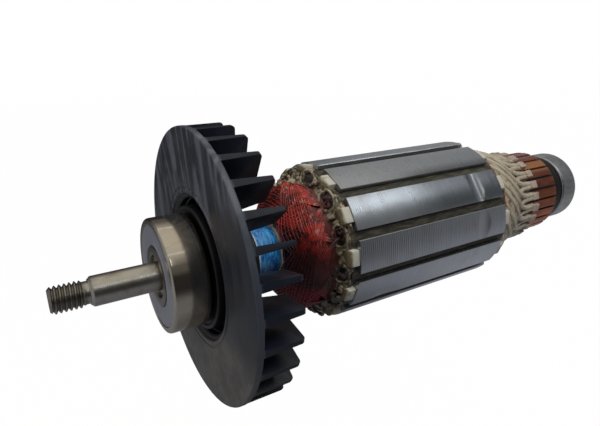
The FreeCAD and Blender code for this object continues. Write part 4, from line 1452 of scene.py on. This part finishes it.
def divided(points, gap):
    """A closed line with more points in it, none further apart than about a gap."""
    result = []
    for i, j in pairs(len(points)):
        a, b = points[i], points[j]
        count = max(1, round(math.dist(a, b) / gap))
        result += [(a[0] + (b[0] - a[0]) * n / count, a[1] + (b[1] - a[1]) * n / count)
                   for n in range(count)]
    return result


def slot_room(inset):
    """Corners of the room in a slot, as (across, out), inset from its walls."""
    floor, roof = SLOT_FLOOR + inset, SLOT_ROOF - inset
    foot, head = half_slot(floor, inset), half_slot(roof, inset)
    return [(-foot, floor), (foot, floor), (head, roof), (-head, roof)]


class ARMATURE_OT_slots(bpy.types.Operator):
    """Makes the paper liners, the wedges and the coil sides in the slots"""
    bl_idname = "armature.slots"
    bl_label = "Slot insulation"

    def execute(self, context):
        outer, inner = slot_room(0.05), slot_room(0.3)
        edge, roof = inner[2][0], outer[2][1]
        paper = divided([outer[3], outer[0], outer[1], outer[2], (edge, roof), inner[1],
                         inner[0], (-edge, roof)], 0.9)
        paper_at = [28.63, 28.9, 29.3, 29.8, 30.4, 31.1, 31.6, 74.0, 74.5, 75.2, 75.8, 76.3,
                    76.7, 76.99]
        piece("liner_papers", slot_places(paper, paper_at, 0.5, 1.7), "liner_paper", "rotor",
              ["slot_liners"], angle=60)
        half = half_slot(SLOT_ROOF) - 0.2
        wedge = eased([(-half, 15.42, 0.1), (half, 15.42, 0.1), (0.98, 16.08, 0.25),
                       (-0.98, 16.08, 0.25)], steps_each=2)
        wedge_at = [30.31, 30.6, 31.3, 74.3, 75.0, 75.31]
        piece("wedge_strips", slot_places(wedge, wedge_at, 0.25, 8.2), "wedge_fibre", "rotor",
              ["slot_wedges"], angle=40)
        wire = divided(slot_room(0.35), 1.2)
        wire_at = [30.9, 31.4, 74.2, 75.2, 76.2, 77.0]
        piece("slot_wire", slot_places(wire, wire_at, 0.4, 4.4), "red_enamel_wire", "rotor",
              ["coil_sides"], finish="rear_resin", angle=60)
        return {"FINISHED"}


# ---- windings

class WindingSettings(bpy.types.PropertyGroup):
    wire_radius: length_size(0.13, "Wire radius", "Radius of the enamelled wire")
    wires: bpy.props.IntProperty(name="Wires", description="Wires that show in each coil",
                                 default=20, min=4, max=40)


def front_form():
    """The form of the front turns, from the core down to the neck of the insulator."""
    return Meridian([(28.9, 14.7), (27.3, 14.0), (24.2, 12.8), (21.7, 9.3), (20.45, 7.6),
                     (20.4, 5.95)], 1.3)


def coil_wires(form, start, span, count, lift, chance):
    """The wires of one coil, side by side from its slot over the form to its other slot."""
    paths = []
    sway, swirl = chance.uniform(-0.7, 0.7), chance.uniform(0, 9)
    tight, reach = chance.uniform(0.6, 0.86), chance.uniform(0.9, 1.0)
    wide, lean = chance.uniform(0.48, 0.6), chance.uniform(-0.05, 0.05)
    in_mouth = 30.6
    for wire in range(count):
        share = (wire + 0.5) / count
        deep = form.length * (reach - wide * (1 - share))
        spread = 4.4 * (2 * share - 1)
        first, last = start - spread, start + span + spread
        r_in, r_out = [12.2 + 2.2 * share + chance.uniform(-0.3, 0.3) for _ in range(2)]
        over = lift + (0.2 if wire % 2 else 0.0) + chance.uniform(-0.05, 0.05)
        stray = chance.uniform(-0.1, 0.1)
        path = [around(in_mouth, r_in, first)]
        for t in steps(0, 1, 26):
            bend = math.sin(math.pi * min(1.0, max(0.0, t + lean * math.sin(2 * math.pi * t))))
            s = deep * max(0.0, bend) ** tight + sway * math.sin(2 * math.pi * t)
            s += stray * math.sin(math.pi * t) + 0.35 * math.sin(swirl + 9 * t) * (1 - share)
            x, r = form.at(s, over * min(1.0, 4 * t + 0.2, 4 * (1 - t) + 0.2))
            base = r_in if t < 0.5 else r_out
            near = max(0.0, 1 - 7 * min(t, 1 - t))
            path.append(around(x + near * 0.4, r * (1 - near) + min(base, r) * near,
                               first + (last - first) * t))
        path.append(around(in_mouth, r_out, last))
        paths.append(path)
    return paths


# the middle of a slot's mouth at the top, the way that it faces, and its two sides
MOUTH, MOUTH_AIM = Vector((28.75, 14.75, 0)), Vector((-0.86, 0.51, 0))
MOUTH_RISE, MOUTH_ACROSS = Vector((0.51, 0.86, 0)), Vector((0, 0, 1))


def mouth_rim(k, wide, high, turn):
    """An uneven rim of varnish round the mouth of slot k."""
    spokes, sides = 32, 8
    vertices = []
    for i in range(spokes):
        u = 2 * math.pi * i / spokes
        spoke = MOUTH_ACROSS * wide * math.cos(u) + MOUTH_RISE * high * math.sin(u)
        lump = noise.noise(Vector((math.cos(u) * 1.6, math.sin(u) * 1.6, k * 2.9)))
        thick = 0.3 * (1 + 0.8 * lump)
        for j in range(sides):
            v = 2 * math.pi * j / sides
            place = MOUTH + spoke * (1.08 + 0.2 * lump)
            place += (spoke.normalized() * math.cos(v) + MOUTH_AIM * math.sin(v)) * thick
            vertices.append(tuple(turn @ place))
    return mesh_of(vertices, quads(spokes, sides, True))


def mouth_hollow(k, wide, high, turn):
    """The dark cap, painted as the shade of the hole, that lies deeper in the mouth of slot k."""
    mesh = bpy.data.meshes.new("hollow")
    with opened(mesh) as work:
        bmesh.ops.create_uvsphere(work, u_segments=24, v_segments=12, radius=1.0)
        for vertex in work.verts:
            u, v, w = vertex.co
            bump = 1 + 0.2 * noise.noise(Vector((u * 2, v * 2, k * 4.3)))
            place = MOUTH - MOUTH_AIM * (0.45 - w * 0.3 * bump)
            place += MOUTH_ACROSS * u * wide + MOUTH_RISE * v * high
            vertex.co = turn @ place * MM
        bmesh.ops.recalc_face_normals(work, faces=work.faces)
    return mesh


def slot_mouths():
    """The rims of varnish round all the mouths, and the hollows in them."""
    rims, hollows = [], []
    for k in range(SLOTS):
        turn = Matrix.Rotation(math.radians(SLOT_PHASE + SLOT_PITCH * k - 2.0), 3, "X")
        wide = 1.95 + 0.4 * noise.noise(Vector((k * 3.7, 0.5, 0)))
        high = 1.5 + 0.4 * noise.noise(Vector((k * 5.1, 4.5, 0)))
        rims.append(mouth_rim(k, wide, high, turn))
        hollows.append(mouth_hollow(k, wide, high, turn))
    return joined(rims), joined(hollows)


def lump_places(form, chance):
    """Places of the varnish lumps: two by each slot, and some on the turns at the top."""
    places = []
    for k in range(SLOTS):
        for side in (-1, 1):
            places.append((chance.uniform(28.2, 29.2), chance.uniform(14.4, 15.7),
                           SLOT_PHASE + SLOT_PITCH * k + side * chance.uniform(9, 13),
                           chance.uniform(0.4, 0.65)))
    for _ in range(16):
        x, r = form.at(chance.uniform(0.0, 5.0), 0.5)
        places.append((x, r, chance.gauss(72, 14), chance.uniform(0.3, 0.6)))
    return places


# the slots in which the coils start, in the order of winding
COIL_SLOTS = (10, 3, 8, 1, 6, 11, 0, 9, 2, 7, 5, 4)


class ARMATURE_OT_front_winding(bpy.types.Operator):
    """Makes the turns of red wire between the core and the fan, with their varnish"""
    bl_idname = "armature.front_winding"
    bl_label = "Front winding"

    def execute(self, context):
        settings = context.scene.armature_winding
        form = front_form()
        chance = random.Random(21)
        skin = [form.at(s, -0.5) for s in steps(0.4, form.length, 16)]
        base = lathe([(29.6, 5.75), (29.6, 11.5), (28.9, 12.9)] + skin + [(21.7, 5.75)], 120)
        base = roughened(base, 1.6, 0.18)
        paths = []
        for coil, slot in enumerate(COIL_SLOTS):
            start = SLOT_PHASE + 1.5 + SLOT_PITCH * slot
            lift = -0.4 + 0.95 * coil / (SLOTS - 1)
            paths += coil_wires(form, start, 149, settings.wires, lift, chance)
        wires = strands(paths, settings.wire_radius / MM, 6, "red_enamel_wire")
        piece("red_turns", wires, "red_enamel_wire", "rotor", ["front_end_winding"], angle=80)
        piece("deep_turns", base, "red_enamel_wire", "rotor", finish="bedded_wire", angle=80)
        rims, hollows = slot_mouths()
        piece("varnish_crust", joined([varnish_crust(form), rims]), "red_enamel_wire", "rotor",
              finish="varnish", angle=80)
        piece("slot_hollows", hollows, "red_enamel_wire", "rotor", finish="dark_varnish",
              angle=80)
        piece("varnish_lumps", lumps(lump_places(form, chance), 3), "red_enamel_wire", "rotor",
              finish="varnish", angle=70)
        return {"FINISHED"}


def varnish_crust(form):
    """Hardened varnish over the top of the turns and round them by the core."""
    line = sorted((x, r) for x, r in form.points)

    def level(x):
        if x >= 28.6:
            return 14.8 + min(1.0, (x - 28.6) * 1.3)
        after = next(i for i, point in enumerate(line) if point[0] >= x)
        if after == 0:
            return line[0][1]
        (x0, r0), (x1, r1) = line[after - 1], line[after]
        return r0 + (r1 - r0) * (x - x0) / max(x1 - x0, 1e-6)

    def radius(x, degrees):
        lean = math.cos(math.radians(degrees - 52 - 3.5 * (x - 24)))
        edge = 0.06 * rough(x, degrees, 14, 2.0, 6.0)
        top = ramp(lean + edge, 0.78, 0.9) * ramp(x, 21.9, 23.0)
        rim = ramp(x, 27.3, 28.5)
        patch = ramp(rough(x, degrees, 14, 2.4, 3.0), -0.45, 0.15)
        near = (degrees - SLOT_PHASE + SLOT_PITCH / 2) % SLOT_PITCH - SLOT_PITCH / 2
        hole = ramp(8.0 - abs(near + 2), 0, 2.0) * ramp(x, 27.4, 28.2)
        hole *= 1 - ramp(x, 29.4, 30.0)
        cover = max(top, rim * max(patch, ramp(x, 29.2, 30.0))) * (1 - hole)
        lump = rough(x, degrees, 14, 1.9) * 0.7 + rough(x, degrees, 14, 0.8, 9.0) * 0.3
        end = ramp(31.45 - x, 0, 0.3)
        return level(x) - 1.7 + cover * (1.75 + lump) * end - 2.5 * (1 - end)

    return turned(steps(22.0, 31.45, 48), radius, 260)


def rear_form():
    """The form of the leads, from the rear turns to the hooks."""
    return Meridian([(77.2, 14.3), (80.6, 14.2), (83.4, 13.6), (85.5, 12.6), (88.5, 11.9),
                     (92.6, 11.35)], 1.0)


def lead_path(form, hook, way, sink, chance):
    """One lead from beside its hook back over the form; way is the side that it leans to."""
    turn, path = chance.uniform(0.9, 1.1), []
    for t in steps(0, 1, 18):
        swing = 3.4 * t + 62 * max(0.0, t - 0.22) ** 1.6 * turn
        deep = 0.25 + sink * (min(1.0, 3 * t) + 4 * max(0.0, t - 0.4)) + 0.25 * t
        x, r = form.at(form.length - 15.3 * t * 0.97, chance.uniform(-0.03, 0.03) - deep)
        path.append(around(x, r, hook + way * (1.9 + swing)))
    return path


class ARMATURE_OT_rear_winding(bpy.types.Operator):
    """Makes the covered turns behind the core and the leads that run to the commutator"""
    bl_idname = "armature.rear_winding"
    bl_label = "Rear winding"

    def execute(self, context):
        chance = random.Random(8)
        base = lathe([(77.0, 5.75), (92.3, 5.75), (92.3, 10.75), (90.5, 11.0), (88.5, 11.4),
                      (87.0, 11.95), (85.5, 12.55), (83.3, 13.5), (80.6, 14.1),
                      (78.0, 14.1), (77.4, 13.85), (77.0, 13.6)], 160)
        base = roughened(base, 1.4, 0.22, seed=3.0)
        form = rear_form()
        under, over = [], []
        for bar in range(BARS):
            hook = BAR_PHASE + 360 / BARS * bar
            over.append(lead_path(form, hook, -1, 0.0, chance))
            under.append(lead_path(form, hook, 1, 0.3, chance))
        cords = joined([strands(over, 0.76, 8, "cream_resin"),
                        strands(under, 0.72, 8, "cream_resin")])
        piece("resin_cords", roughened(cords, 1.8, 0.12, seed=5.0), "cream_resin", "rotor",
              ["commutator_leads"], angle=80)
        piece("rear_turns", base, "red_enamel_wire", "rotor", ["rear_end_winding"],
              finish="rear_resin", angle=80)
        return {"FINISHED"}


# ---- commutator

BARS, BAR_PHASE = 24, 15.2


def copper_bar():
    """One wedge-shaped bar with its eased rear edge, and its hook."""
    half_pitch = math.pi / BARS
    foot, shoulder, crown = 7.8, 10.93, 11.0

    def side(r):
        return math.tan(half_pitch) * r - 0.275 / math.cos(half_pitch)

    section = eased([(-side(foot), foot), (side(foot), foot), (side(shoulder), shoulder, 0.12),
                     (0, crown), (-side(shoulder), shoulder, 0.12)], steps_each=3)
    bar = loft([[(x, r - (drop if r > 9 else 0), a) for a, r in section]
                for x, drop in ((92.51, 0.12), (92.63, 0), (103.13, 0), (103.31, 0.15))])
    hook = block((92.51, 94.0), (11.5, 12.0), (-0.8, 0.8), 0.12)
    post = block((92.51, 93.0), (10.6, 11.7), (-0.8, 0.8), 0.1)
    return joined([bar, hook, post])


class ARMATURE_OT_commutator(bpy.types.Operator):
    """Makes the copper bars with their hooks, and the resin over the hooks"""
    bl_idname = "armature.commutator"
    bl_label = "Commutator"

    def execute(self, context):
        bars = ring_of(copper_bar(), BARS, BAR_PHASE, "commutator_copper")
        piece("copper_bars", bars, "commutator_copper", "rotor", ["commutator_bars"])
        blob = block((91.9, 94.2), (10.9, 12.14), (-0.98, 0.98), 0.3, cuts=1)
        blobs = roughened(ring_of(blob, BARS, BAR_PHASE, "cream_resin"), 0.8, 0.16, seed=11.0)
        piece("hook_resin", blobs, "cream_resin", "rotor", angle=80)
        return {"FINISHED"}


# ---- what the add-on registers, and the making of the whole armature

SETTINGS = {
    "armature_colours": ColourSettings, "armature_stage": StageSettings,
    "armature_shaft": ShaftSettings, "armature_fan": FanSettings,
    "armature_core": CoreSettings, "armature_winding": WindingSettings,
}

OPERATORS = (
    ARMATURE_OT_stage, ARMATURE_OT_finishes, ARMATURE_OT_shaft, ARMATURE_OT_bearings,
    ARMATURE_OT_rings, ARMATURE_OT_fan, ARMATURE_OT_tape, ARMATURE_OT_core,
    ARMATURE_OT_insulators, ARMATURE_OT_slots, ARMATURE_OT_front_winding,
    ARMATURE_OT_rear_winding, ARMATURE_OT_commutator,
)


class ARMATURE_PT_panel(bpy.types.Panel):
    """Sizes and colours of the armature, and a button for each group of its pieces"""
    bl_idname = "ARMATURE_PT_panel"
    bl_label = "Motor armature"
    bl_space_type = "VIEW_3D"
    bl_region_type = "UI"
    bl_category = "Armature"

    def draw(self, context):
        for name in SETTINGS:
            group = getattr(context.scene, name)
            for key in group.bl_rna.properties.keys():
                if key not in ("rna_type", "name"):
                    self.layout.prop(group, key)
        for operator in OPERATORS:
            self.layout.operator(operator.bl_idname)


CLASSES = (*SETTINGS.values(), *OPERATORS, ARMATURE_PT_panel)


def register():
    """Adds the settings, the operators and the panel to Blender."""
    for kind in CLASSES:
        bpy.utils.register_class(kind)
    for name, kind in SETTINGS.items():
        setattr(bpy.types.Scene, name, bpy.props.PointerProperty(type=kind))


def unregister():
    """Takes them out again."""
    for name in SETTINGS:
        delattr(bpy.types.Scene, name)
    for kind in reversed(CLASSES):
        bpy.utils.unregister_class(kind)


def main():
    """Makes the whole armature."""
    register()
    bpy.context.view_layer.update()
    for operator in OPERATORS:
        call = operator.bl_idname.split(".")[1]
        getattr(bpy.ops.armature, call)()


if __name__ == "__main__":
    main()
